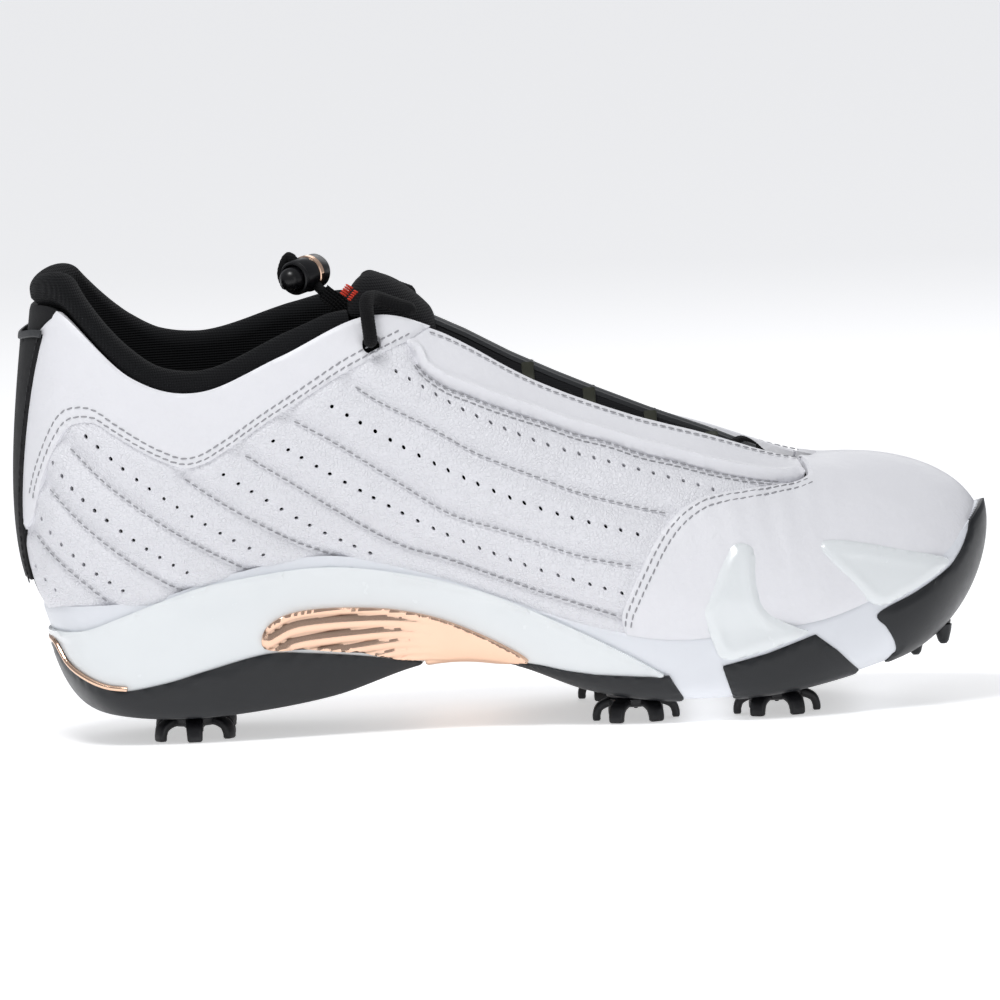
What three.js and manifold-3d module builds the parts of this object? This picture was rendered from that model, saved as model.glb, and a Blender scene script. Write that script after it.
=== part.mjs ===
// A low golf shoe, left foot, built as its separate pieces. Millimetres, +Z up, heel at -X, toe at +X.
// -Y is the inner (medial) side of the foot and +Y the outer (lateral) side. The spike tips stand on Z = 0.

import * as THREE from 'three';
import { mergeVertices } from 'three/addons/utils/BufferGeometryUtils.js';
import Module from 'manifold-3d';

const wasm = await Module();
wasm.setup();

// ---------------------------------------------------------------- driving dimensions

const GAP = 0.3;                  // clearance between pieces that touch
const COLUMNS = 40;               // facets round the shoe
const UPPER_ROWS = 6;             // facets from the bite line to the top line
const SOLE_ROWS = 4;              // facets up the sole's wall
const HEEL_Y = -3.5;              // the heel's centre line
const PANEL_THICKNESS = 2.0;      // outer leather panels
const STIFFENER_THICKNESS = 1.3;  // heel counter and toe puff
const BOOTIE_THICKNESS = 1.3;     // inner sleeve
const CUP_WALL = 4.0;             // outsole and carrier thickness round the foam core
const CUP_FLOOR = 4.6;            // outsole thickness under the foam core
const COLLAR_RADIUS = 4.8;        // padded collar roll
const LACE_RADIUS = 1.55;
const CLAW_THICKNESS = 2.3;       // moulded claws on the forefoot
const SPIKE_SEAT = 7.8;           // height of the spikes' seats above the ground
const SPIKE_LEG_WIDTH = 6.2;
const SPIKE_RADIUS = 13.5;        // to the leg tips
const SOCKET_RADIUS = 9.0;
const SOCKET_DEPTH = 7.5;
const STUD_RADIUS = 5.5;
const STUD_LENGTH = 5.0;
const TAB_THICKNESS = 2.0;        // heel pull tab
const FOOTBED_INSET = 5;          // footbed's edge inside the bite line
const SIDE_CORD_RADIUS = 2.2;
const SIDE_CORD_SHIFT = [1.6, 1.2]; // the lateral cord's place from the medial one's mirror, along Y and Z
const SIDE_REACH = 90;            // half length of the side-view cutters
const HEEL_REACH = [-170, -118];  // ends of the back-view cutters along X

// ---------------------------------------------------------------- the last, as ribs round the shoe

// Each rib runs up the upper: foot on the bite line, lean and crown as curve handles, top on the top line.
const rib = (foot, lean, crown, top) => ({
  points: [foot, lean, crown, top].map((p) => new THREE.Vector3(...p)),
});

const UPPER_RIBS = [
  rib([-143, -3.5, 42], [-154.8, -3.5, 60], [-148.8, -3.5, 100], [-143.5, -3.5, 137]),
  rib([-133.5, -26, 43], [-142, -33, 60], [-140, -29, 105], [-134, -24, 136]),
  rib([-110, -36, 44.8], [-111, -43, 66], [-113, -40, 95], [-113, -35, 115.5]),
  rib([-85, -36.5, 52], [-86, -42.5, 70], [-90, -41, 92], [-92, -36, 109.8]),
  rib([-55, -34, 56], [-56, -40, 76], [-62, -40.5, 100], [-66, -35, 119.6]),
  rib([-25, -34.5, 49.5], [-26, -41, 72], [-35, -39, 108], [-39, -28, 130]),
  rib([0, -37.5, 40.5], [-1, -46, 62], [-12, -38, 103], [-17, -20, 124]),
  rib([25, -43, 31], [24, -53, 50], [16, -38, 88], [12, -18.5, 107]),
  rib([50, -48, 25.5], [49, -59, 42], [43, -39, 78], [40, -17.5, 95]),
  rib([77, -50, 27], [76, -61, 42], [68, -40, 71], [65, -16.5, 87]),
  rib([103, -46, 30.5], [106, -55, 45], [90, -36, 68], [84, -14, 80]),
  rib([135, -30.5, 38.5], [143, -36, 57], [113, -24, 72.5], [95, -9, 76.5]),
  rib([147, -8, 42], [157, -9, 66], [128, -5, 79], [99, -1, 76]),
  rib([134, 19.5, 38.5], [142, 27, 57], [113, 18, 72.5], [95, 8, 76.5]),
  rib([103, 38, 30.5], [106, 49, 45], [90, 35, 68], [84, 14, 80]),
  rib([77, 46, 27], [76, 58, 42], [68, 41, 71], [65, 17, 87]),
  rib([50, 49, 25.5], [49, 61, 42], [43, 42, 78], [40, 18.5, 95]),
  rib([25, 46, 31], [24, 57, 50], [16, 42, 88], [12, 20, 107]),
  rib([0, 40, 40.5], [-1, 49, 62], [-12, 42, 103], [-17, 22.5, 124]),
  rib([-25, 34, 49.5], [-26, 42, 72], [-35, 41, 110], [-39, 30, 131]),
  rib([-55, 31, 56], [-56, 38, 78], [-62, 39.5, 105], [-66, 33.5, 123.5]),
  rib([-85, 31, 52], [-86, 37.5, 73], [-90, 37.5, 98], [-92, 31, 117]),
  rib([-110, 29.5, 44.8], [-111, 36.5, 66], [-113, 34, 100], [-113, 28.5, 121]),
  rib([-133.5, 19, 43], [-142, 26, 60], [-140, 22, 105], [-134, 17, 137]),
];

// Each sole rib runs up the side wall, from the ground edge to the bite line.
const SOLE_RIBS = [
  rib([-131, -3.5, 11], [-140, -3.5, 16], [-143, -3.5, 34], [-144.8, -3.5, 44]),
  rib([-124, -25, 10], [-131, -31, 14], [-133.5, -31, 32], [-135, -28.5, 44.2]),
  rib([-108, -33, 8.6], [-108, -39, 12], [-109, -39.5, 32], [-110, -38, 46]),
  rib([-85, -34, 9.1], [-85, -39.5, 13], [-85, -40.5, 38], [-85, -38.5, 52.8]),
  rib([-55, -31, 13], [-55, -36.5, 18], [-55, -38.5, 42], [-55, -36.2, 56.8]),
  rib([-25, -30, 21.5], [-25, -35.5, 24], [-25, -38.5, 40], [-25, -36.7, 50.4]),
  rib([0, -34, 20.5], [0, -40, 21.5], [0, -41.5, 34], [0, -39.7, 41.6]),
  rib([25, -40, 11.5], [25, -46, 13], [25, -47, 25], [25, -45.3, 32.1]),
  rib([50, -45, 7.4], [50, -51, 9], [50, -52.5, 20], [50, -50.3, 27]),
  rib([77, -46, 7.4], [77, -52.5, 9], [77, -54, 20], [77, -52.3, 28.5]),
  rib([100, -41, 10.5], [102, -47.5, 12], [103, -50, 24], [103, -48.3, 32]),
  rib([123, -29, 16], [131, -35, 21], [137, -36, 38], [137, -32.8, 48]),
  rib([133, -8, 20], [147, -8, 30], [153, -8, 50], [150.5, -8, 61]),
  rib([123, 18, 16], [131, 24.5, 21], [136.5, 26, 38], [136.5, 22, 48]),
  rib([100, 34, 10.5], [102, 40.5, 12], [103, 43, 24], [103, 40.5, 32]),
  rib([77, 42, 7.4], [77, 50, 9], [77, 52.4, 20], [77, 49.4, 28.5]),
  rib([50, 46, 7.4], [50, 52.6, 9], [50, 55, 20], [50, 52, 27]),
  rib([25, 43, 11.5], [25, 49, 13], [25, 50.5, 25], [25, 48.5, 32.1]),
  rib([0, 36, 20.5], [0, 42, 21.5], [0, 44, 34], [0, 42.2, 41.6]),
  rib([-25, 28, 21.5], [-25, 34, 24], [-25, 38, 40], [-25, 36.2, 50.4]),
  rib([-55, 25, 13], [-55, 31, 18], [-55, 35, 42], [-55, 33.2, 56.8]),
  rib([-85, 26.5, 9.1], [-85, 32, 13], [-85, 34.5, 38], [-85, 33, 52.8]),
  rib([-108, 25.5, 8.6], [-108, 31.5, 12], [-109, 32.5, 32], [-110, 31.5, 46]),
  rib([-124, 18, 10], [-131, 24, 14], [-133.5, 24, 32], [-135, 21.5, 44.2]),
];

// Height of the footbed along the shoe, as [x, z].
const FOOTBED = [[-160, 34], [-110, 31], [-60, 33], [-10, 27], [40, 19.5], [80, 20], [115, 25.5], [160, 37]];

// Height of the tongue's crest along the shoe, as [x, z].
const TONGUE_CREST = [[-20, 115.3], [0, 105.3], [20, 95.3], [45, 84], [70, 76.5], [92, 71.5]];

// Height of the spine strip's upper face, as [x, z].
const SPINE_CREST = [
  [-17, 126.5], [-8, 122], [5.5, 114.3], [19, 107.6], [32, 101], [45.5, 95.3], [48, 94], [50, 91], [51, 86],
];

// ---------------------------------------------------------------- side-view outlines, as [x, z]

const COLLAR_SEAM = [
  [-148.5, 40], [-147, 58], [-145.6, 70], [-142.7, 81.8], [-137, 95.4], [-130.3, 102], [-122, 100.5],
  [-111.3, 93.1], [-98.3, 87.1], [-85, 91.4], [-61.4, 105.3], [-41, 115.9], [-19.5, 125],
];
const VAMP_EDGE = [
  [36.8, 10], [36.2, 34.4], [38.6, 40.2], [43.3, 49.3], [48.8, 58.3], [54.1, 64], [60.2, 67.8], [67.1, 69.6],
  [83.9, 70.4], [94, 71.2], [97.5, 74], [96, 90],
];
const EYESTAY_EDGE = [
  [-27, 122], [-21.9, 112.2], [-15.4, 107.8], [-2, 101.6], [15, 94.5], [34.7, 87.4], [54.7, 80.5], [69, 75.9],
  [83, 71.8], [100, 69],
];
const RIDGE = [
  [-170, 35], [-141, 35.6], [-131, 36.8], [-121, 40.3], [-105, 46], [-91, 49.8], [-66, 52.9], [-48, 52.7],
  [-26, 48.8], [-12, 44.9], [1, 40], [14, 34], [27, 27.6], [40, 20.5], [48, 15.5],
];
const HEEL_POD = [
  [-170, 31.5], [-141, 31.5], [-137, 24.8], [-131, 20], [-120, 17.3], [-106, 19.8], [-93.5, 23.1], [-75, 26.9],
  [-60, 26.4], [-45, 24.6], [-34, 22.3], [-25, 20.5], [-25, -5], [-170, -5],
];
const SHANK = [
  [-75, 28.2], [-76.5, 32.5], [-73.5, 36.8], [-66.7, 39.6], [-54.9, 40.5], [-40.5, 39.7], [-30.7, 38.1],
  [-21, 35.4], [-12.2, 31.7], [-4.2, 27.7], [4.5, 22.9], [8, 20.4], [-3.5, 21.6], [-3.5, 5], [-23.5, 5],
  [-23.5, 22], [-34, 23.9], [-45, 26.2], [-60, 28],
];
const REAR_POD = [
  [-2, 20.9], [10, 19.2], [17.7, 17.4], [26.7, 16], [47.3, 14.7], [49.5, 14.9], [54.2, 6], [54.2, -5], [-2, -5],
];
const MID_POD = [
  [66.2, 17.6], [80.5, 20.8], [95.8, 25.8], [102.4, 20.3], [109.5, 12.6], [109.5, -5], [69.6, -5], [69.6, 7],
];
const TOE_POD = [
  [115.6, 30.5], [118.2, 26], [120.3, 21.7], [120.9, 18], [119.4, 13], [119.4, -5], [170, -5], [170, 65],
  [148, 63], [146.1, 55.3], [143.9, 49.4], [141.3, 45.3], [138.8, 42.7], [133.2, 39.1], [127, 35.8],
];
const REAR_CLAW = [
  [73.9, 55.7], [70.8, 54.3], [66.9, 47.9], [63.5, 39.6], [60.8, 34.9], [63.4, 26.3], [66.2, 18.3], [80.5, 21.4],
  [95.2, 26.2], [90.5, 28.4], [84.6, 31.3], [80.1, 35.7], [78.6, 42.5], [78.9, 48.5], [78, 54],
];
const FRONT_CLAW = [
  [97.1, 51.1], [99.1, 54.3], [103.9, 54.4], [112.8, 52.7], [121.7, 50.4], [138.9, 45.9], [138.8, 43.8],
  [133.2, 40.2], [127, 36.9], [115.6, 31.7], [108, 41],
];
const HEEL_COUNTER = [[-170, 20], [-84, 20], [-90, 70], [-100, 84], [-118, 92], [-170, 94]];
const TOE_PUFF = [[106, 20], [170, 20], [170, 90], [124, 90], [112, 60]];
const LACE_SLOT = { x: -37.5, z: 118.5, halfWidth: 3.2, halfHeight: 7 };

// ---------------------------------------------------------------- curves and surfaces

function curveThrough(ribs, handle) {
  return new THREE.CatmullRomCurve3(ribs.map((r) => r.points[handle]), true, 'catmullrom', 0.5);
}

// A surface over round (0..1 from the heel along the medial side and back) and up (0..1 from bottom to top).
function ribSurface(ribs) {
  const rails = [0, 1, 2, 3].map((handle) => curveThrough(ribs, handle));
  return (round, up) => {
    const turn = ((round % 1) + 1) % 1;
    const [a, b, c, d] = rails.map((rail) => rail.getPoint(turn));
    return new THREE.CubicBezierCurve3(a, b, c, d).getPoint(Math.min(Math.max(up, 0), 1));
  };
}

const upperSurface = ribSurface(UPPER_RIBS);
const soleSurface = ribSurface(SOLE_RIBS);

function outward(surface, round, up) {
  const step = 0.004;
  const low = Math.max(up - step, 0);
  const high = Math.min(up + step, 1);
  const along = surface(round + step, up).sub(surface(round - step, up));
  const rise = surface(round, high).sub(surface(round, low));
  return along.cross(rise).normalize();
}

function offsetPoint(surface, round, up, distance) {
  return surface(round, up).addScaledVector(outward(surface, round, up), distance);
}

function heightAt(profile, x) {
  const last = profile.length - 2;
  let index = 0;
  while (index < last && x > profile[index + 1][0]) index += 1;
  const [x0, z0] = profile[index];
  const [x1, z1] = profile[index + 1];
  return z0 + ((z1 - z0) * (x - x0)) / (x1 - x0);
}

// ---------------------------------------------------------------- solids

function geometryFrom(points, faces) {
  const geometry = new THREE.BufferGeometry();
  const places = points.flatMap((p) => [p.x, p.y, p.z]);
  geometry.setAttribute('position', new THREE.Float32BufferAttribute(places, 3));
  geometry.setIndex(faces.flat());
  return geometry;
}

function solid(source) {
  const bare = source.clone();
  bare.deleteAttribute('normal');
  bare.deleteAttribute('uv');
  const geometry = mergeVertices(bare, 1e-4);
  return new wasm.Manifold(new wasm.Mesh({
    numProp: 3,
    vertProperties: new Float32Array(geometry.attributes.position.array),
    triVerts: new Uint32Array(geometry.index.array),
  }));
}

function geometryOf(body) {
  const mesh = body.getMesh();
  const geometry = new THREE.BufferGeometry();
  geometry.setAttribute('position', new THREE.BufferAttribute(new Float32Array(mesh.vertProperties), 3));
  geometry.setIndex([...mesh.triVerts]);
  return geometry;
}

const union = (first, ...others) => others.reduce((sum, next) => sum.add(next), first);
const cut = (first, ...others) => others.reduce((rest, next) => rest.subtract(next), first);

// Keeps the largest connected body, so no sliver left by a cut travels with the piece.
function largestBody(body) {
  const mesh = body.getMesh();
  const parent = Array.from({ length: mesh.numVert }, (_, index) => index);
  const root = (index) => {
    let at = index;
    while (parent[at] !== at) {
      parent[at] = parent[parent[at]];
      at = parent[at];
    }
    return at;
  };
  const merged = new Map();
  const { vertProperties, triVerts, numProp } = mesh;
  for (let v = 0; v < mesh.numVert; v += 1) {
    const key = [0, 1, 2].map((axis) => Math.round(vertProperties[v * numProp + axis] * 1000)).join();
    if (merged.has(key)) parent[root(v)] = root(merged.get(key));
    else merged.set(key, v);
  }
  for (let t = 0; t < triVerts.length; t += 3) {
    parent[root(triVerts[t])] = root(triVerts[t + 1]);
    parent[root(triVerts[t + 2])] = root(triVerts[t + 1]);
  }
  const counts = new Map();
  for (let t = 0; t < triVerts.length; t += 3) {
    const key = root(triVerts[t]);
    counts.set(key, (counts.get(key) ?? 0) + 1);
  }
  const biggest = [...counts].sort((a, b) => b[1] - a[1])[0][0];
  const faces = [];
  for (let t = 0; t < triVerts.length; t += 3) {
    if (root(triVerts[t]) === biggest) faces.push(triVerts[t], triVerts[t + 1], triVerts[t + 2]);
  }
  const geometry = new THREE.BufferGeometry();
  geometry.setAttribute('position', new THREE.BufferAttribute(new Float32Array(vertProperties), 3));
  geometry.setIndex(faces);
  return geometry;
}

function wallFaces(rows, columns, first, flipped) {
  const faces = [];
  for (let row = 0; row < rows; row += 1) {
    for (let column = 0; column < columns; column += 1) {
      const next = (column + 1) % columns;
      const a = first + row * columns + column;
      const b = first + row * columns + next;
      const c = a + columns;
      const d = b + columns;
      faces.push(...(flipped ? [[a, d, b], [a, c, d]] : [[a, b, d], [a, d, c]]));
    }
  }
  return faces;
}

// Closes a ring with strips from the medial side straight across to the lateral side.
function capFaces(first, columns, upward) {
  const faces = [];
  for (let i = 0; i < columns / 2; i += 1) {
    const a = first + i;
    const b = first + i + 1;
    const c = first + ((columns - i) % columns);
    const d = first + columns - i - 1;
    if (a !== c) faces.push(upward ? [a, b, c] : [a, c, b]);
    if (b !== d) faces.push(upward ? [b, d, c] : [b, c, d]);
  }
  return faces;
}

// A solid filled from rings of points, bottom ring first.
function filled(rings) {
  const columns = rings[0].length;
  const faces = [
    ...wallFaces(rings.length - 1, columns, 0, false),
    ...capFaces(0, columns, false),
    ...capFaces((rings.length - 1) * columns, columns, true),
  ];
  return solid(geometryFrom(rings.flat(), faces));
}

const ringOf = (pointAt) => Array.from({ length: COLUMNS }, (_, i) => pointAt(i / COLUMNS));

function footbedRing(distance, raise) {
  return ringOf((round) => {
    const side = outward(upperSurface, round, 0).setZ(0).normalize();
    const point = upperSurface(round, 0).addScaledVector(side, distance - FOOTBED_INSET);
    return point.setZ(heightAt(FOOTBED, point.x) + raise);
  });
}

// The whole foot-shaped volume, offset outward by distance; topRise lifts its open end.
function filledLast(distance, topRise = 0) {
  const rings = [footbedRing(distance, -distance)];
  for (let row = 0; row <= UPPER_ROWS; row += 1) {
    rings.push(ringOf((round) => offsetPoint(upperSurface, round, row / UPPER_ROWS, distance)));
  }
  if (topRise) {
    rings.push(rings[rings.length - 1].map((p) => p.clone().setZ(p.z + topRise)));
  }
  return filled(rings);
}

// The whole sole block, offset outward by distance, with its floor raised by lift.
function filledSole(distance, lift = 0) {
  const rings = [];
  for (let row = 0; row <= SOLE_ROWS; row += 1) {
    const up = row / SOLE_ROWS;
    rings.push(ringOf((round) => {
      const point = offsetPoint(soleSurface, round, up, distance);
      return point.setZ(point.z + lift * (1 - up));
    }));
  }
  return filled(rings);
}

// A closed skin of the upper between two offsets and two heights, all the way round.
function skin(outer, inner, low, high, topRise = 0) {
  const rows = UPPER_ROWS;
  const sheet = (distance) => {
    const points = [];
    for (let row = 0; row <= rows; row += 1) {
      const up = low + ((high - low) * row) / rows;
      const rise = row === rows ? topRise : 0;
      points.push(...ringOf((round) => {
        const point = offsetPoint(upperSurface, round, up, distance);
        return point.setZ(point.z + rise);
      }));
    }
    return points;
  };
  const count = (rows + 1) * COLUMNS;
  const faces = [...wallFaces(rows, COLUMNS, 0, false), ...wallFaces(rows, COLUMNS, count, true)];
  for (let column = 0; column < COLUMNS; column += 1) {
    const next = (column + 1) % COLUMNS;
    faces.push([column, count + next, next], [column, count + column, count + next]);
    const top = rows * COLUMNS + column;
    const topNext = rows * COLUMNS + next;
    faces.push([top, topNext, count + topNext], [top, count + topNext, count + top]);
  }
  return solid(geometryFrom([...sheet(outer), ...sheet(inner)], faces));
}

// A closed slab over a rectangle of parameters; pointAt gives a point for (u, v) on the upper or lower side.
function slab(pointAt, columns, rows) {
  const points = [];
  for (const side of [1, 0]) {
    for (let row = 0; row <= rows; row += 1) {
      for (let column = 0; column <= columns; column += 1) {
        points.push(pointAt(column / columns, row / rows, side));
      }
    }
  }
  const width = columns + 1;
  const under = width * (rows + 1);
  const faces = [];
  const quad = (a, b, c, d) => faces.push([a, b, c], [a, c, d]);
  for (let row = 0; row < rows; row += 1) {
    for (let column = 0; column < columns; column += 1) {
      const a = row * width + column;
      quad(a, a + 1, a + width + 1, a + width);
      quad(under + a, under + a + width, under + a + width + 1, under + a + 1);
    }
  }
  for (let column = 0; column < columns; column += 1) {
    const far = rows * width + column;
    quad(column, under + column, under + column + 1, column + 1);
    quad(far, far + 1, under + far + 1, under + far);
  }
  for (let row = 0; row < rows; row += 1) {
    const left = row * width;
    const right = left + columns;
    quad(left, left + width, under + left + width, under + left);
    quad(right, under + right, under + right + width, right + width);
  }
  return geometryFrom(points, faces);
}

// ---------------------------------------------------------------- cutters

// Moves an outline outward by distance, corner by corner.
function grown(outline, distance) {
  const area = outline.reduce((sum, [x, z], i) => {
    const [nx, nz] = outline[(i + 1) % outline.length];
    return sum + x * nz - nx * z;
  }, 0);
  const sign = Math.sign(area);
  const count = outline.length;
  return outline.map(([x, z], i) => {
    const [px, pz] = outline[(i + count - 1) % count];
    const [nx, nz] = outline[(i + 1) % count];
    const before = new THREE.Vector2(z - pz, px - x).normalize();
    const after = new THREE.Vector2(nz - z, x - nx).normalize();
    const middle = before.clone().add(after).normalize();
    const reach = distance / Math.max(middle.dot(after), 0.4);
    return [x + sign * middle.x * reach, z + sign * middle.y * reach];
  });
}

// A side-view outline pushed along Y from yLow to yHigh.
function sidePrism(outline, yLow = -SIDE_REACH, yHigh = SIDE_REACH) {
  const shape = new THREE.Shape(outline.map(([x, z]) => new THREE.Vector2(x, z)));
  const geometry = new THREE.ExtrudeGeometry(shape, { depth: yHigh - yLow, bevelEnabled: false });
  geometry.rotateX(Math.PI / 2);
  geometry.translate(0, yHigh, 0);
  return solid(geometry);
}

// A back-view outline, as [y, z], pushed along X over the heel.
function backPrism(outline) {
  const shape = new THREE.Shape(outline.map(([y, z]) => new THREE.Vector2(y, z)));
  const depth = HEEL_REACH[1] - HEEL_REACH[0];
  const geometry = new THREE.ExtrudeGeometry(shape, { depth, bevelEnabled: false });
  geometry.rotateX(Math.PI / 2);
  geometry.rotateZ(Math.PI / 2);
  geometry.translate(HEEL_REACH[0], 0, 0);
  return solid(geometry);
}

const above = (edge) => [...edge, [edge[edge.length - 1][0], 190], [edge[0][0], 190]];
const SIDES = [
  { side: 'medial', low: -SIDE_REACH, high: -GAP / 2 },
  { side: 'lateral', low: GAP / 2, high: SIDE_REACH },
];

// ---------------------------------------------------------------- materials

const finish = (color, roughness, metalness = 0) => ({ color, roughness, metalness });
const WHITE_LEATHER = finish(0xeceef4, 0.5);
const WHITE_PLASTIC = finish(0xf0f3f7, 0.3);
const WHITE_FOAM = finish(0xe9eef6, 0.55);
const BLACK_KNIT = finish(0x15171a, 0.9);
const BLACK_NEOPRENE = finish(0x101113, 0.7);
const RIBBED_CLOTH = finish(0x1d1f21, 0.8);
const GREY_TRIM = finish(0x4c4f52, 0.6);
const LACE_CLOTH = finish(0x131415, 0.85);
const OLIVE_WEBBING = finish(0x2c2e22, 0.55);
const COPPER = finish(0xd9a58a, 0.22, 1);
const CHARCOAL_RUBBER = finish(0x22262b, 0.5);
const SPIKE_PLASTIC = finish(0x121416, 0.45);
const SOCKET_PLASTIC = finish(0x1c1e20, 0.5);
const BOARD = finish(0xc9b48e, 0.9);
const SOCKLINER_CLOTH = finish(0x202225, 0.9);
const STIFFENER = finish(0xbdb9ae, 0.8);
const GLOSS_BLACK = finish(0x08090a, 0.15);
const SPRING_STEEL = finish(0xb8bcc0, 0.3, 1);

const model = new THREE.Group();

function place(name, look, geometry, parent = model) {
  const mesh = new THREE.Mesh(geometry, new THREE.MeshStandardMaterial(look));
  mesh.name = name;
  parent.add(mesh);
  return mesh;
}

const placeBody = (name, look, body, parent) => place(name, look, largestBody(body), parent);

// ---------------------------------------------------------------- upper

const BOOTIE_OUTER = -PANEL_THICKNESS - 4 * GAP - STIFFENER_THICKNESS;
const BOOTIE_INNER = BOOTIE_OUTER - BOOTIE_THICKNESS;
const OPEN_TOP = 8;               // lifts a cutter clear of the shoe's open top
const panelSkin = skin(0, -PANEL_THICKNESS, 0, 1);
const HEEL_PANEL = [
  [HEEL_Y - 10, 30], [HEEL_Y - 10, 118], [HEEL_Y - 14, 127], [HEEL_Y - 21, 133], [HEEL_Y - 26, 145],
  [HEEL_Y + 26, 145], [HEEL_Y + 21, 133], [HEEL_Y + 14, 127], [HEEL_Y + 10, 118], [HEEL_Y + 10, 30],
];
const HEEL_TAB = [
  [HEEL_Y - 9, 50], [HEEL_Y - 15, 95], [HEEL_Y - 18.5, 131],
  [HEEL_Y + 18.5, 131], [HEEL_Y + 15, 95], [HEEL_Y + 9, 50],
];

function buildUpper() {
  const heel = backPrism(HEEL_PANEL);
  const heelGrown = backPrism(grown(HEEL_PANEL, GAP));
  const vamp = [...VAMP_EDGE, [190, 90], [190, 10]];
  placeBody('heel_panel', BLACK_NEOPRENE, panelSkin.intersect(heel));
  placeBody('vamp', WHITE_LEATHER, panelSkin.intersect(sidePrism(vamp)));
  const body = cut(panelSkin, heelGrown, sidePrism(grown(vamp, GAP)));
  const slot = sidePrism(slotOutline());
  for (const { side, low, high } of SIDES) {
    const half = side === 'medial' ? -HEEL_Y : 0;
    const reach = [low - half, high - half];
    const collar = sidePrism(above(COLLAR_SEAM), ...reach);
    const collarGrown = sidePrism(grown(above(COLLAR_SEAM), GAP), ...reach);
    const eyestay = sidePrism(above(EYESTAY_EDGE), ...reach);
    const eyestayGrown = sidePrism(grown(above(EYESTAY_EDGE), GAP), ...reach);
    const sideWall = sidePrism([[-170, 10], [120, 10], [120, 190], [-170, 190]], ...reach);
    placeBody(`${side}_collar_panel`, WHITE_LEATHER, cut(body.intersect(collar), slot));
    placeBody(`${side}_eyestay`, WHITE_LEATHER, cut(body.intersect(eyestay), collarGrown));
    placeBody(`${side}_quarter`, WHITE_LEATHER, cut(body.intersect(sideWall), collarGrown, eyestayGrown));
  }
  const tabSkin = skin(GAP + TAB_THICKNESS, GAP, 0.05, 0.97);
  placeBody('heel_pull_tab', BLACK_NEOPRENE, tabSkin.intersect(backPrism(HEEL_TAB)));
}

function slotOutline() {
  const { x, z, halfWidth, halfHeight } = LACE_SLOT;
  const points = [];
  for (let step = 0; step < 12; step += 1) {
    const angle = (step / 12) * 2 * Math.PI;
    const end = Math.sign(Math.sin(angle)) * (halfHeight - halfWidth);
    points.push([x + halfWidth * Math.cos(angle), z + end + halfWidth * Math.sin(angle)]);
  }
  return points;
}

function buildStiffeners() {
  const outer = -PANEL_THICKNESS - 2 * GAP;
  const layer = skin(outer, outer - STIFFENER_THICKNESS, 0.03, 0.98);
  placeBody('heel_counter', STIFFENER, layer.intersect(sidePrism(HEEL_COUNTER)));
  placeBody('toe_puff', STIFFENER, layer.intersect(sidePrism(TOE_PUFF)));
}

// The sleeve inside the panels, in three lengths that are sewn end to end.
function buildBootie() {
  const sleeve = cut(filledLast(BOOTIE_OUTER), filledLast(BOOTIE_INNER, 3));
  const lengths = { rear: [-170, -62], waist: [-62, 24], front: [24, 170] };
  for (const [name, [from, to]] of Object.entries(lengths)) {
    const span = sidePrism([[from + GAP / 2, 0], [to - GAP / 2, 0], [to - GAP / 2, 190], [from + GAP / 2, 190]]);
    placeBody(`bootie_${name}`, BLACK_KNIT, sleeve.intersect(span));
  }
}

function buildFootbed() {
  const plate = (name, look, inset, bottom, thickness) => {
    const low = footbedRing(inset, bottom);
    const high = low.map((p) => p.clone().setZ(p.z + thickness));
    placeBody(name, look, filled([low, high]));
  };
  plate('insole_board', BOARD, -1.5, 0.3, 3);
  plate('sockliner', SOCKLINER_CLOTH, -8, 6.6, 3.4);
}

// ---------------------------------------------------------------- collar, tongue and laces

const tubeSection = (radius, sides) => new THREE.Shape(
  Array.from({ length: sides }, (_, i) => {
    const angle = (i / sides) * 2 * Math.PI;
    return new THREE.Vector2(radius * Math.cos(angle), radius * Math.sin(angle));
  }),
);

function tube(points, radius, steps, sides = 8) {
  const corners = points.map((p) => new THREE.Vector3(...p));
  const extrudePath = new THREE.CatmullRomCurve3(corners, false, 'centripetal');
  return new THREE.ExtrudeGeometry(tubeSection(radius, sides), { steps, extrudePath, bevelEnabled: false });
}

// The upper's whole thickness, bootie included, which softer pieces are trimmed against.
const panelTrim = skin(1.5, BOOTIE_OUTER, 0, 1, 2 * GAP);
const bootieTrim = cut(filledLast(BOOTIE_OUTER + GAP, 2 * GAP), filledLast(BOOTIE_INNER - GAP, OPEN_TOP));

function buildCollarRoll() {
  const from = -0.192;
  const to = 0.192;
  const points = [];
  for (let step = 0; step <= 24; step += 1) {
    const round = from + ((to - from) * step) / 24;
    const heelward = Math.max(0, 1 - Math.abs(round) / 0.09);
    const point = offsetPoint(upperSurface, round, 1, -4.2);
    points.push([point.x, point.y, point.z + 1.9 + 3.6 * heelward]);
  }
  placeBody('collar_roll', BLACK_KNIT, cut(solid(tube(points, COLLAR_RADIUS, 32, 8)), panelTrim, bootieTrim));
}

const TONGUE_HALF = 24;
const TONGUE_DROOP = 10;          // fall of the tongue's edges below its crest
const tongueHeight = (x, y) => heightAt(TONGUE_CREST, x) - TONGUE_DROOP * (y / 20) ** 2;

function buildTongue() {
  const start = -19;
  const end = 90;
  const thickness = 4;
  const pointAt = (u, v, side) => {
    const x = start + (end - start) * u;
    const half = TONGUE_HALF - 8 * u;
    const y = half * (2 * v - 1);
    return new THREE.Vector3(x, y, tongueHeight(x, y) - (side ? 0 : thickness));
  };
  placeBody('tongue', RIBBED_CLOTH, cut(solid(slab(pointAt, 10, 6)), panelTrim, bootieTrim));
}

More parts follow.
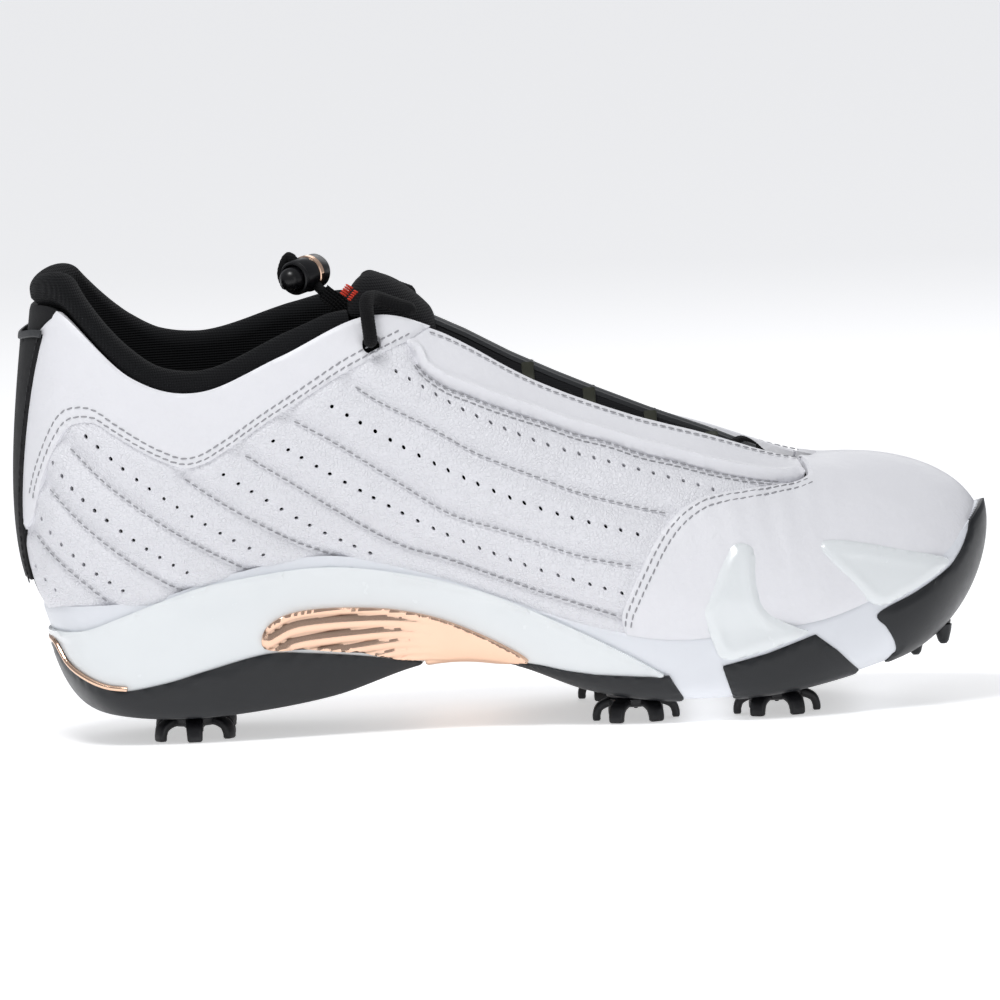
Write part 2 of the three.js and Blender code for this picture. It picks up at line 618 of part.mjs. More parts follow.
function buildTonguePad() {
  const outline = [
    [-20.5, 122.5], [-24, 131.5], [-31, 137.3], [-38, 139.6], [-44, 139.8], [-46.5, 136.5], [-43, 131.5],
    [-33, 127.5], [-24, 119],
  ];
  const half = 17;
  const body = sidePrism(outline, -half, half);
  placeBody('tongue_top_pad', BLACK_KNIT, cut(body, panelTrim, bootieTrim));
}

function buildSpine() {
  const half = 5.5;
  const start = SPINE_CREST[0][0];
  const end = SPINE_CREST[SPINE_CREST.length - 1][0];
  const pointAt = (u, v, side) => {
    const x = start + (end - start) * u;
    const y = half * (2 * v - 1);
    return new THREE.Vector3(x, y, heightAt(SPINE_CREST, x) - 0.6 * (y / half) ** 2 - (side ? 0 : 1.5));
  };
  place('tongue_spine', GREY_TRIM, slab(pointAt, 14, 2));
}

const LACE_START = -8;
const LACE_END = 86;
const LACE_CLEAR = 2.1;           // strand's underside above the tongue
const LACE_PASSES = 5;
const LACE_STEPS = 50;
const laceHalf = (x) => 12.5 - 5.5 * ((x - LACE_START) / (LACE_END - LACE_START)) ** 2;

// One strand weaves from side to side over the tongue; the other mirrors it and crosses above it.
function strandPoints(sign, lift) {
  const points = [];
  const count = LACE_PASSES * 6;
  for (let step = 0; step <= count; step += 1) {
    const x = LACE_START + ((LACE_END - LACE_START) * step) / count;
    const sway = Math.cos((step / 6) * Math.PI);
    const y = sign * laceHalf(x) * sway;
    points.push([x, y, tongueHeight(x, y) + LACE_RADIUS + LACE_CLEAR + lift * (1 - sway * sway)]);
  }
  return points;
}

function buildLaces() {
  place('lace_lower_strand', LACE_CLOTH, tube(strandPoints(1, 0), LACE_RADIUS, LACE_STEPS, 6));
  const lift = 2 * LACE_RADIUS + 2 * GAP;
  place('lace_upper_strand', LACE_CLOTH, tube(strandPoints(-1, lift), LACE_RADIUS, LACE_STEPS, 6));
}

// Webbing rings, one at each turn of the strands, that the lace runs through.
function buildLaceLoops() {
  const inner = LACE_RADIUS + 1.1;
  const outer = inner + 0.5;
  const width = 2;
  for (let pass = 1; pass < LACE_PASSES; pass += 1) {
    const x = LACE_START + ((LACE_END - LACE_START) * pass) / LACE_PASSES;
    for (const { side } of SIDES) {
      const y = (side === 'medial' ? -1 : 1) * laceHalf(x);
      const ring = new THREE.Shape().absarc(0, 0, outer, 0, 2 * Math.PI);
      ring.holes.push(new THREE.Path().absarc(0, 0, inner, 0, 2 * Math.PI, true));
      const options = { depth: width, bevelEnabled: false, curveSegments: 4 };
      const geometry = new THREE.ExtrudeGeometry(ring, options);
      geometry.translate(0, 0, -width / 2);
      geometry.rotateY(Math.PI / 2);
      geometry.rotateY(Math.atan2(heightAt(TONGUE_CREST, x - 5) - heightAt(TONGUE_CREST, x + 5), 10));
      geometry.translate(x, y, tongueHeight(x, y) + LACE_RADIUS + LACE_CLEAR);
      place(`${side}_lace_loop_${pass}`, OLIVE_WEBBING, geometry);
    }
  }
}

// ---------------------------------------------------------------- cord lock

const LOCK_CENTRE = new THREE.Vector3(-57, -4, 142.2);
const BUTTON_WAY = new THREE.Vector3(-0.55, -0.8, -0.1).normalize();
const TAIL_WAY = new THREE.Vector3(0.8, -0.05, -0.6).projectOnPlane(BUTTON_WAY).normalize();
const BARREL_RADIUS = 5.4;
const BARREL_LENGTH = 14;
const BARREL_BORE = 4.2;
const PLUNGER_RADIUS = 3.8;
const PLUNGER_TRAVEL = 2;
const CORD_HOLE = 2.4;

// The lock's own frame: +Z towards the button, +X along the cord towards the tongue.
function lockFrame() {
  const frame = new THREE.Group();
  const side = new THREE.Vector3().crossVectors(BUTTON_WAY, TAIL_WAY);
  frame.quaternion.setFromRotationMatrix(new THREE.Matrix4().makeBasis(TAIL_WAY, side, BUTTON_WAY));
  frame.position.copy(LOCK_CENTRE);
  return frame;
}

// A hole across the lock for the cord, stretched towards the button by the plunger's travel.
function crossBore(radius, halfLength, stretch) {
  const outline = new THREE.Shape();
  outline.absarc(0, 0, radius, -Math.PI / 2, Math.PI / 2);
  outline.absarc(-stretch, 0, radius, Math.PI / 2, (3 * Math.PI) / 2);
  const options = { depth: 2 * halfLength, bevelEnabled: false, curveSegments: 5 };
  const geometry = new THREE.ExtrudeGeometry(outline, options);
  geometry.translate(0, 0, -halfLength);
  geometry.rotateY(Math.PI / 2);
  return solid(geometry);
}

// A solid of [radius, z] points turned round Z.
function turned(profile, sides) {
  const geometry = new THREE.LatheGeometry(profile.map(([r, z]) => new THREE.Vector2(r, z)), sides);
  geometry.rotateX(Math.PI / 2);
  return solid(geometry);
}

function springGeometry() {
  const points = [];
  const turns = 2;
  for (let step = 0; step <= turns * 8; step += 1) {
    const angle = (step / 8) * 2 * Math.PI;
    points.push([2.7 * Math.cos(angle), 2.7 * Math.sin(angle), -5.6 + (step / (turns * 8)) * 1.6]);
  }
  return tube(points, 0.2, 20, 4);
}

function buildCordLock() {
  const frame = lockFrame();
  model.add(frame);
  const half = BARREL_LENGTH / 2;
  const barrelProfile = [
    [0, -half], [BARREL_RADIUS - 1.2, -half], [BARREL_RADIUS, -half + 1.2], [BARREL_RADIUS, half - 1],
    [BARREL_RADIUS - 1, half], [BARREL_BORE, half], [BARREL_BORE, -half + 1], [0, -half + 1],
  ];
  const barrel = cut(turned(barrelProfile, 16), crossBore(CORD_HOLE, 9, 0));
  placeBody('cord_lock_barrel', GLOSS_BLACK, barrel, frame);
  const plungerProfile = [
    [0, -3.6], [PLUNGER_RADIUS, -3.6], [PLUNGER_RADIUS, half + 1.2], [PLUNGER_RADIUS - 0.6, half + 3],
    [PLUNGER_RADIUS - 2, half + 4.2], [0, half + 4.7],
  ];
  const plunger = cut(turned(plungerProfile, 14), crossBore(CORD_HOLE, 9, PLUNGER_TRAVEL + GAP));
  placeBody('cord_lock_button', GLOSS_BLACK, plunger, frame);
  place('cord_lock_spring', SPRING_STEEL, springGeometry(), frame);
}

const alongTail = (distance) => LOCK_CENTRE.clone().addScaledVector(TAIL_WAY, distance).toArray();

function buildCordEnds() {
  const tail = [
    [-49.5, -1, 128.5], [-46.5, -3.5, 133.5], alongTail(8.5), alongTail(3), alongTail(-3), alongTail(-8),
    [-64.5, 0, 142.5], [-63, 2, 137],
  ];
  place('lace_tail', LACE_CLOTH, tube(tail, LACE_RADIUS, 26));
}

// A cord along the top line on each side that goes over it and into the collar panel's slot.
function buildSideCords() {
  const medial = [
    [-23, -20.8, 130.4], [-30, -22.5, 133.2], [-36, -25.5, 135.8], [-38.3, -31, 135.2], [-38.2, -35.6, 130.2],
    [-37.8, -36, 125.5], [-37.5, -33.5, 121],
  ];
  const lateral = medial.map(([x, y, z]) => [x, -y + SIDE_CORD_SHIFT[0], z + SIDE_CORD_SHIFT[1]]);
  place('medial_side_cord', LACE_CLOTH, tube(medial, SIDE_CORD_RADIUS, 22));
  place('lateral_side_cord', LACE_CLOTH, tube(lateral, SIDE_CORD_RADIUS, 22));
}

// ---------------------------------------------------------------- sole

const last = filledLast(GAP, OPEN_TOP);
const soleBlock = filledSole(0);
const coreBlock = filledSole(-CUP_WALL, CUP_FLOOR);
const coreClear = filledSole(-CUP_WALL + GAP, CUP_FLOOR - GAP);

// Each spike's place, and the turn of its legs that its thread stops at.
const SPIKES = [
  { x: -99, y: -20, turn: 0 },
  { x: -99, y: 13, turn: 0 },
  { x: 39, y: -30, turn: 30 },
  { x: 35, y: 32, turn: 30 },
  { x: 83, y: -31, turn: 30 },
  { x: 80, y: 28, turn: 30 },
];

function spikeFrame({ x, y, turn }) {
  const frame = new THREE.Group();
  frame.position.set(x, y, SPIKE_SEAT);
  frame.rotation.set(0, 0, THREE.MathUtils.degToRad(turn));
  frame.updateMatrix();
  return frame;
}

function disc(radius, bottom, top) {
  const geometry = new THREE.CylinderGeometry(radius, radius, top - bottom, 12);
  geometry.rotateX(Math.PI / 2);
  geometry.translate(0, 0, (bottom + top) / 2);
  return solid(geometry);
}

function spikeBody() {
  const legProfile = [
    [3, -4.6], [3, -1], [9.2, -1], [SPIKE_RADIUS, -4.6], [SPIKE_RADIUS - 0.5, -SPIKE_SEAT],
    [SPIKE_RADIUS - 4, -SPIKE_SEAT], [7.4, -4.6],
  ];
  let body = disc(8.6, -2.6, -GAP);
  body = body.add(disc(STUD_RADIUS - GAP, -1, STUD_LENGTH - GAP));
  const leg = sidePrism(legProfile, -SPIKE_LEG_WIDTH / 2, SPIKE_LEG_WIDTH / 2);
  for (let index = 0; index < 6; index += 1) {
    const geometry = geometryOf(leg);
    geometry.rotateZ(((index + 0.5) * Math.PI) / 3);
    body = body.add(solid(geometry));
  }
  return body;
}

function socketTool(spike, radius, bottom, top) {
  const frame = spikeFrame(spike);
  const geometry = geometryOf(disc(radius, bottom, top));
  geometry.applyMatrix4(frame.matrix);
  return solid(geometry);
}

function buildSpikes() {
  const body = largestBody(spikeBody());
  const cup = largestBody(cut(disc(SOCKET_RADIUS, 0, SOCKET_DEPTH), disc(STUD_RADIUS, -1, STUD_LENGTH)));
  SPIKES.forEach((spike, index) => {
    const frame = spikeFrame(spike);
    place(`spike_socket_${index + 1}`, SOCKET_PLASTIC, cup.clone(), frame);
    place(`spike_${index + 1}`, SPIKE_PLASTIC, body.clone(), frame);
    model.add(frame);
  });
}

function buildSole() {
  const socketHoles = SPIKES.map((spike) => socketTool(spike, SOCKET_RADIUS + GAP, -3, SOCKET_DEPTH + GAP));
  const pods = {
    heel_outsole: HEEL_POD,
    rear_forefoot_outsole: REAR_POD,
    mid_forefoot_outsole: MID_POD,
    toe_outsole: TOE_POD,
  };
  const cupWall = cut(soleBlock, coreClear, last);
  for (const [name, outline] of Object.entries(pods)) {
    placeBody(name, CHARCOAL_RUBBER, cut(cupWall.intersect(sidePrism(outline)), ...socketHoles));
  }
  placeBody('shank_plate', COPPER, cupWall.intersect(sidePrism(SHANK)));
  const cutters = [...Object.values(pods), SHANK].map((outline) => sidePrism(grown(outline, GAP)));
  const ridgeTop = above(RIDGE);
  const carrier = cut(cupWall, sidePrism(grown(ridgeTop, GAP)), ...cutters, ...socketHoles);
  placeBody('sidewall_carrier', WHITE_PLASTIC, carrier);
  const foam = union(soleBlock.intersect(sidePrism(ridgeTop)), coreBlock);
  placeBody('midsole', WHITE_FOAM, cut(foam, last, ...socketHoles));
}

function buildClaws() {
  const outer = union(filledLast(GAP + CLAW_THICKNESS), filledSole(GAP + CLAW_THICKNESS));
  const inner = union(last, filledSole(GAP));
  const clawSkin = cut(outer, inner);
  for (const { side, low, high } of SIDES) {
    placeBody(`${side}_rear_claw`, WHITE_PLASTIC, clawSkin.intersect(sidePrism(REAR_CLAW, low, high)));
    placeBody(`${side}_front_claw`, WHITE_PLASTIC, clawSkin.intersect(sidePrism(FRONT_CLAW, low, high)));
  }
}

buildUpper();
buildStiffeners();
buildBootie();
buildFootbed();
buildCollarRoll();
buildTongue();
buildTonguePad();
buildSpine();
buildLaces();
buildLaceLoops();
buildCordLock();
buildCordEnds();
buildSideCords();
buildSole();
buildClaws();
buildSpikes();

export default model;
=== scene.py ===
"""A left golf shoe: the visible surfaces of every piece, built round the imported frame. Lengths in millimetres
until a mesh is made, +X to the toe, -Y the inner side that faces the camera, +Z up."""

import math

import bpy
import numpy as np
from mathutils import Matrix, Vector, kdtree
from mathutils.geometry import delaunay_2d_cdt


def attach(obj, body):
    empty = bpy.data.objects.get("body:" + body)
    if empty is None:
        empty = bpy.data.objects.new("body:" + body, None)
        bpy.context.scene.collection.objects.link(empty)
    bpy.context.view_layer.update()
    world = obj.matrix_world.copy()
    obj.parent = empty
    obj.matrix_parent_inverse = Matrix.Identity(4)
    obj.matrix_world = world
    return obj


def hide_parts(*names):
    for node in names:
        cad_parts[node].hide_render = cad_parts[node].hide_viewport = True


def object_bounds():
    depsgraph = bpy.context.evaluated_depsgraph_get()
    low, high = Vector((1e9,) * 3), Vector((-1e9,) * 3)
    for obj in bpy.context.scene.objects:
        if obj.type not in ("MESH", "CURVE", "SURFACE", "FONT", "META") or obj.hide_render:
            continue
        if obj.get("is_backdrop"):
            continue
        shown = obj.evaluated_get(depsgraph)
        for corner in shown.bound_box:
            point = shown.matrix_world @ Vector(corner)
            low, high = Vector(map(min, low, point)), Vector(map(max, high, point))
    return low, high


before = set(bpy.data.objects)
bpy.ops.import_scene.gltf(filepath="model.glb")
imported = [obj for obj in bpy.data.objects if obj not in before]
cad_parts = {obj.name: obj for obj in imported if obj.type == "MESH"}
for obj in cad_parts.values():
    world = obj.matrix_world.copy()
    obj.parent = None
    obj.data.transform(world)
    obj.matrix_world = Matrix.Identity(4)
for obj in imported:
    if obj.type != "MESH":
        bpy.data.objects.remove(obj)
CAD_BOX = [list(corner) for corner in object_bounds()]

MM = 0.001
rng = np.random.default_rng(7)

# ------------------------------------------------------------------ camera, light and floor

VIEW_ELEVATION = math.radians(6)
VIEW_ROLL = math.radians(3)
VIEW_WIDTH = 313.6          # millimetres across the picture, at the shoe
VIEW_TARGET = (0.0, 0.0, 67.6)
CAMERA_DISTANCE = 6000.0
SENSOR_WIDTH = 36
LIGHT_AIM = (0, 0, 0.06)    # metres, as are the floor's and the lights' measures
FLOOR_HALF = 8.0
FLOOR_Z = -0.0002


def make_camera():
    data = bpy.data.cameras.new("camera")
    data.sensor_width = SENSOR_WIDTH
    data.lens = SENSOR_WIDTH * CAMERA_DISTANCE / VIEW_WIDTH
    data.clip_start, data.clip_end = 0.1, 50
    camera = bpy.data.objects.new("camera", data)
    bpy.context.scene.collection.objects.link(camera)
    back = Vector((0, -math.cos(VIEW_ELEVATION), math.sin(VIEW_ELEVATION)))
    turn = (-back).to_track_quat("-Z", "Y").to_matrix().to_4x4()
    place = Matrix.Translation((Vector(VIEW_TARGET) + back * CAMERA_DISTANCE) * MM)
    camera.matrix_world = place @ turn @ Matrix.Rotation(-VIEW_ROLL, 4, "Z")
    bpy.context.scene.camera = camera


def area_light(name, place, size, power):
    """A soft rectangular light that looks at the shoe."""
    data = bpy.data.lights.new(name, "AREA")
    data.shape, data.size, data.size_y = "RECTANGLE", size[0], size[1]
    data.energy = power
    light = bpy.data.objects.new(name, data)
    light.location = place
    light.rotation_euler = (Vector(LIGHT_AIM) - Vector(place)).to_track_quat("-Z", "Y").to_euler()
    bpy.context.scene.collection.objects.link(light)


def make_lights():
    world = bpy.data.worlds.new("studio")
    world.use_nodes = True
    background = world.node_tree.nodes["Background"]
    background.inputs["Color"].default_value = (0.93, 0.95, 1.0, 1)
    background.inputs["Strength"].default_value = 0.36
    bpy.context.scene.world = world
    bpy.context.scene.view_settings.view_transform = "Standard"
    area_light("top_light", (-0.25, -0.35, 0.95), (0.35, 0.25), 5.2)
    area_light("front_light", (0.6, -1.1, 0.3), (0.3, 0.8), 0.9)
    area_light("back_light", (0.3, 1.0, 0.7), (1.0, 0.6), 2.2)


def make_floor():
    mesh = bpy.data.meshes.new("floor")
    corners = [(x * FLOOR_HALF, y * FLOOR_HALF, 0) for x, y in ((-1, -1), (1, -1), (1, 1), (-1, 1))]
    mesh.from_pydata(corners, [], [(0, 1, 2, 3)])
    floor = bpy.data.objects.new("floor", mesh)
    floor.location.z = FLOOR_Z
    bpy.context.scene.collection.objects.link(floor)
    finish = bpy.data.materials.new("floor")
    finish.use_nodes = True
    shader = finish.node_tree.nodes["Principled BSDF"]
    shader.inputs["Base Color"].default_value = (0.93, 0.93, 0.94, 1)
    shader.inputs["Roughness"].default_value = 0.6
    shader.inputs["Emission Color"].default_value = (1, 1, 1, 1)
    shader.inputs["Emission Strength"].default_value = 0.5
    mesh.materials.append(finish)
    floor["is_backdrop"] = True


# --------------------------------------------------------- the last and the sole, as ribs round the shoe

# Each rib runs up the wall as a curve's four handles: foot, lean, crown and top. The heel's rib is first,
# then come the medial side's, the toe's and the lateral side's.
UPPER_RIBS = [
    [(-143, -3.5, 42), (-154.8, -3.5, 60), (-148.8, -3.5, 100), (-143.5, -3.5, 137)],
    [(-133.5, -26, 43), (-142, -33, 60), (-140, -29, 105), (-134, -24, 136)],
    [(-110, -36, 44.8), (-111, -43, 66), (-113, -40, 95), (-113, -35, 115.5)],
    [(-85, -36.5, 52), (-86, -42.5, 70), (-90, -41, 92), (-92, -36, 109.8)],
    [(-55, -34, 56), (-56, -40, 76), (-62, -40.5, 100), (-66, -35, 119.6)],
    [(-25, -34.5, 49.5), (-26, -41, 72), (-35, -39, 108), (-39, -28, 130)],
    [(0, -37.5, 40.5), (-1, -46, 62), (-12, -38, 103), (-17, -20, 124)],
    [(25, -43, 31), (24, -53, 50), (16, -38, 88), (12, -18.5, 107)],
    [(50, -48, 25.5), (49, -59, 42), (43, -39, 78), (40, -17.5, 95)],
    [(77, -50, 27), (76, -61, 42), (68, -40, 71), (65, -16.5, 87)],
    [(103, -46, 30.5), (106, -55, 45), (90, -36, 68), (84, -14, 80)],
    [(135, -30.5, 38.5), (143, -36, 57), (113, -24, 72.5), (95, -9, 76.5)],
    [(147, -8, 42), (157, -9, 66), (128, -5, 79), (99, -1, 76)],
    [(134, 19.5, 38.5), (142, 27, 57), (113, 18, 72.5), (95, 8, 76.5)],
    [(103, 38, 30.5), (106, 49, 45), (90, 35, 68), (84, 14, 80)],
    [(77, 46, 27), (76, 58, 42), (68, 41, 71), (65, 17, 87)],
    [(50, 49, 25.5), (49, 61, 42), (43, 42, 78), (40, 18.5, 95)],
    [(25, 46, 31), (24, 57, 50), (16, 42, 88), (12, 20, 107)],
    [(0, 40, 40.5), (-1, 49, 62), (-12, 42, 103), (-17, 22.5, 124)],
    [(-25, 34, 49.5), (-26, 42, 72), (-35, 41, 110), (-39, 30, 131)],
    [(-55, 31, 56), (-56, 38, 78), (-62, 39.5, 105), (-66, 33.5, 123.5)],
    [(-85, 31, 52), (-86, 37.5, 73), (-90, 37.5, 98), (-92, 31, 117)],
    [(-110, 29.5, 44.8), (-111, 36.5, 66), (-113, 34, 100), (-113, 28.5, 121)],
    [(-133.5, 19, 43), (-142, 26, 60), (-140, 22, 105), (-134, 17, 137)],
]
SOLE_RIBS = [
    [(-131, -3.5, 11), (-140, -3.5, 16), (-143, -3.5, 34), (-144.8, -3.5, 44)],
    [(-124, -25, 10), (-131, -31, 14), (-133.5, -31, 32), (-135, -28.5, 44.2)],
    [(-108, -33, 8.6), (-108, -39, 12), (-109, -39.5, 32), (-110, -38, 46)],
    [(-85, -34, 9.1), (-85, -39.5, 13), (-85, -40.5, 38), (-85, -38.5, 52.8)],
    [(-55, -31, 13), (-55, -36.5, 18), (-55, -38.5, 42), (-55, -36.2, 56.8)],
    [(-25, -30, 21.5), (-25, -35.5, 24), (-25, -38.5, 40), (-25, -36.7, 50.4)],
    [(0, -34, 20.5), (0, -40, 21.5), (0, -41.5, 34), (0, -39.7, 41.6)],
    [(25, -40, 11.5), (25, -46, 13), (25, -47, 25), (25, -45.3, 32.1)],
    [(50, -45, 7.4), (50, -51, 9), (50, -52.5, 20), (50, -50.3, 27)],
    [(77, -46, 7.4), (77, -52.5, 9), (77, -54, 20), (77, -52.3, 28.5)],
    [(100, -41, 10.5), (102, -47.5, 12), (103, -50, 24), (103, -48.3, 32)],
    [(123, -29, 16), (131, -35, 21), (137, -36, 38), (137, -32.8, 48)],
    [(133, -8, 20), (147, -8, 30), (153, -8, 50), (150.5, -8, 61)],
    [(123, 18, 16), (131, 24.5, 21), (136.5, 26, 38), (136.5, 22, 48)],
    [(100, 34, 10.5), (102, 40.5, 12), (103, 43, 24), (103, 40.5, 32)],
    [(77, 42, 7.4), (77, 50, 9), (77, 52.4, 20), (77, 49.4, 28.5)],
    [(50, 46, 7.4), (50, 52.6, 9), (50, 55, 20), (50, 52, 27)],
    [(25, 43, 11.5), (25, 49, 13), (25, 50.5, 25), (25, 48.5, 32.1)],
    [(0, 36, 20.5), (0, 42, 21.5), (0, 44, 34), (0, 42.2, 41.6)],
    [(-25, 28, 21.5), (-25, 34, 24), (-25, 38, 40), (-25, 36.2, 50.4)],
    [(-55, 25, 13), (-55, 31, 18), (-55, 35, 42), (-55, 33.2, 56.8)],
    [(-85, 26.5, 9.1), (-85, 32, 13), (-85, 34.5, 38), (-85, 33, 52.8)],
    [(-108, 25.5, 8.6), (-108, 31.5, 12), (-109, 32.5, 32), (-110, 31.5, 46)],
    [(-124, 18, 10), (-131, 24, 14), (-133.5, 24, 32), (-135, 21.5, 44.2)],
]
MEDIAL, LATERAL = "medial", "lateral"
SIDES = (MEDIAL, LATERAL)


def closed_spline(stations, turn):
    """Catmull-Rom through the stations, which close on themselves; turn runs from 0 to 1."""
    count = len(stations)
    place = (np.asarray(turn, float) % 1) * count
    index = np.floor(place).astype(int)
    part = (place - index)[:, None, None]
    p0, p1, p2, p3 = (stations[(index + step) % count] for step in (-1, 0, 1, 2))
    cubic = (3 * p1 - p0 - 3 * p2 + p3) * part**3
    return 0.5 * (2 * p1 + (p2 - p0) * part + (2 * p0 - 5 * p1 + 4 * p2 - p3) * part**2 + cubic)


class Wall:
    """A wall round the shoe, over turn (0 at the heel, 0.5 at the toe) and up (0 at its foot, 1 at its top).
    Below 0, up runs in along the underside to the centre line at -1."""

    AROUND = 820.0          # millimetres round the shoe, for an even triangle size

    def __init__(self, ribs, height, mesh_up):
        self.rails = np.array(ribs, float)
        self.height = height
        turns, ups = np.meshgrid(np.linspace(0, 0.5, 301), np.linspace(0, 1, mesh_up), indexing="ij")
        self.table = {}
        for side in SIDES:
            turn = turns.ravel() if side == MEDIAL else 1 - turns.ravel()
            self.table[side] = (turn, ups.ravel(), self.point(turn, ups.ravel()))

    def point(self, turn, up):
        turn, up = np.atleast_1d(turn).astype(float), np.atleast_1d(up).astype(float)
        handles = closed_spline(self.rails, turn)
        w = np.clip(up, 0, 1)[:, None]
        a, b, c, d = (handles[:, k] for k in range(4))
        spot = a * (1 - w) ** 3 + 3 * b * w * (1 - w) ** 2 + 3 * c * w**2 * (1 - w) + d * w**3
        under = np.clip(-up, 0, 1)
        if under.any():
            far = closed_spline(self.rails, 1 - turn)[:, 0]
            middle = (a + far) / 2
            spot[:, 1] += (middle[:, 1] - a[:, 1]) * under
            spot[:, 2] += (middle[:, 2] - a[:, 2]) * under - 0.5 * np.sin(under * np.pi / 2)
        return spot

    def normal(self, turn, up):
        turn, up = np.atleast_1d(turn).astype(float), np.atleast_1d(up).astype(float)
        step = 0.003
        along = self.point(turn + step, up) - self.point(turn - step, up)
        low = np.where(up < 0, np.maximum(up - step, -1), np.maximum(up - step, 0))
        high = np.where(up < 0, np.minimum(up + step, 0), np.minimum(up + step, 1))
        across = np.cross(along, self.point(turn, high) - self.point(turn, low))
        return across / np.maximum(np.linalg.norm(across, axis=1, keepdims=True), 1e-9)

    def find(self, side, outline, axes=(0, 2), reach=0.5):
        """The (turn, up) of outline points on one side, seen from the side as [x, z], or along other axes.
        reach is how far from the heel to look, as a turn."""
        outline = np.atleast_2d(np.asarray(outline, float))
        turns, ups, spots = self.table[side]
        near = np.minimum(turns, 1 - turns) <= reach
        turns, ups, spots = turns[near], ups[near], spots[near][:, axes]
        nearest = [np.argmin(((spots - place) ** 2).sum(axis=1)) for place in outline]
        turn, up = turns[nearest].copy(), ups[nearest].copy()
        low, high = (0.0, reach) if side == MEDIAL else (1 - reach, 1.0)
        step = 0.0015
        for _ in range(6):
            here = self.point(turn, up)[:, axes]
            by_turn = (self.point(turn + step, up)[:, axes] - here) / step
            inward = np.where(up > 0.5, -step, step)
            by_up = (self.point(turn, up + inward)[:, axes] - here) / inward[:, None]
            miss = outline - here
            area = by_turn[:, 0] * by_up[:, 1] - by_turn[:, 1] * by_up[:, 0]
            safe = np.where(np.abs(area) < 50, np.inf, area)
            turn += np.clip((miss[:, 0] * by_up[:, 1] - miss[:, 1] * by_up[:, 0]) / safe, -0.01, 0.01)
            up += np.clip((by_turn[:, 0] * miss[:, 1] - by_turn[:, 1] * miss[:, 0]) / safe, -0.05, 0.05)
            turn, up = np.clip(turn, low, high), np.clip(up, 0, 1)
        return np.stack([turn, up], axis=1)

    def flat(self, places):
        """(turn, up) as even millimetres, for triangulation."""
        return np.asarray(places) * (self.AROUND, self.height)


upper = Wall(UPPER_RIBS, 92.0, 61)
sole = Wall(SOLE_RIBS, 40.0, 31)


# ------------------------------------------------------------------ outlines

def resampled(points, pitch, closed=False):
    """The polyline with a point about every pitch, its corners kept."""
    points = [np.asarray(p, float) for p in points]
    if closed:
        points.append(points[0])
    result = []
    for start, end in zip(points, points[1:]):
        count = max(1, int(round(np.linalg.norm(end - start) / pitch)))
        result += [start + (end - start) * k / count for k in range(count)]
    if not closed:
        result.append(points[-1])
    return np.array(result)


def smooth_line(points, pitch=1.2):
    """A smooth curve through the points, at an even pitch."""
    points = np.asarray(points, float)
    padded = np.vstack([2 * points[0] - points[1], points, 2 * points[-1] - points[-2]])
    fine = []
    for k in range(1, len(padded) - 2):
        p0, p1, p2, p3 = padded[k - 1], padded[k], padded[k + 1], padded[k + 2]
        for f in np.linspace(0, 1, 12, endpoint=False):
            fine.append(0.5 * (2 * p1 + (p2 - p0) * f + (2 * p0 - 5 * p1 + 4 * p2 - p3) * f**2
                               + (3 * p1 - p0 - 3 * p2 + p3) * f**3))
    fine.append(points[-1])
    return even(fine, pitch)


def even(points, pitch):
    points = np.asarray(points, float)
    steps = np.linalg.norm(np.diff(points, axis=0), axis=1)
    run = np.concatenate([[0], np.cumsum(steps)])
    count = max(2, int(round(run[-1] / pitch)) + 1)
    places = np.linspace(0, run[-1], count)
    return np.stack([np.interp(places, run, points[:, k]) for k in range(points.shape[1])], axis=1)


def distance_to(lines, spots):
    """How far each spot is from the nearest of the polylines."""
    best = np.full(len(spots), 1e9)
    for line in lines:
        for start, end in zip(line, line[1:]):
            way = end - start
            length = max(way @ way, 1e-9)
            along = np.clip(((spots - start) @ way) / length, 0, 1)
            best = np.minimum(best, np.linalg.norm(spots - start - along[:, None] * way, axis=1))
    return best


def inside(outline, spots):
    """Which spots lie in the closed outline."""
    x, y = spots[:, 0], spots[:, 1]
    result = np.zeros(len(spots), bool)
    for (x0, y0), (x1, y1) in zip(outline, np.roll(outline, -1, axis=0)):
        crosses = (y0 > y) != (y1 > y)
        result ^= crosses & (x < (x1 - x0) * (y - y0) / ((y1 - y0) if y1 != y0 else 1e-12) + x0)
    return result


def nearest_distance(spots, targets):
    tree = kdtree.KDTree(len(targets))
    for index, target in enumerate(targets):
        tree.insert(target, index)
    tree.balance()
    return np.array([tree.find(spot)[2] for spot in spots])


# ------------------------------------------------------------------ meshes

def new_object(name, vertices, faces, material, sharp=35):
    """A smooth-shaded object from millimetre vertices and faces. Edges over sharp degrees stay sharp."""
    mesh = bpy.data.meshes.new(name)
    mesh.from_pydata((np.asarray(vertices, float) * MM).tolist(), [], [tuple(map(int, f)) for f in faces])
    mesh.validate()
    mesh.polygons.foreach_set("use_smooth", [True] * len(mesh.polygons))
    mesh.set_sharp_from_angle(angle=math.radians(sharp))
    piece = bpy.data.objects.new(name, mesh)
    bpy.context.scene.collection.objects.link(piece)
    mesh.materials.append(material)
    return piece


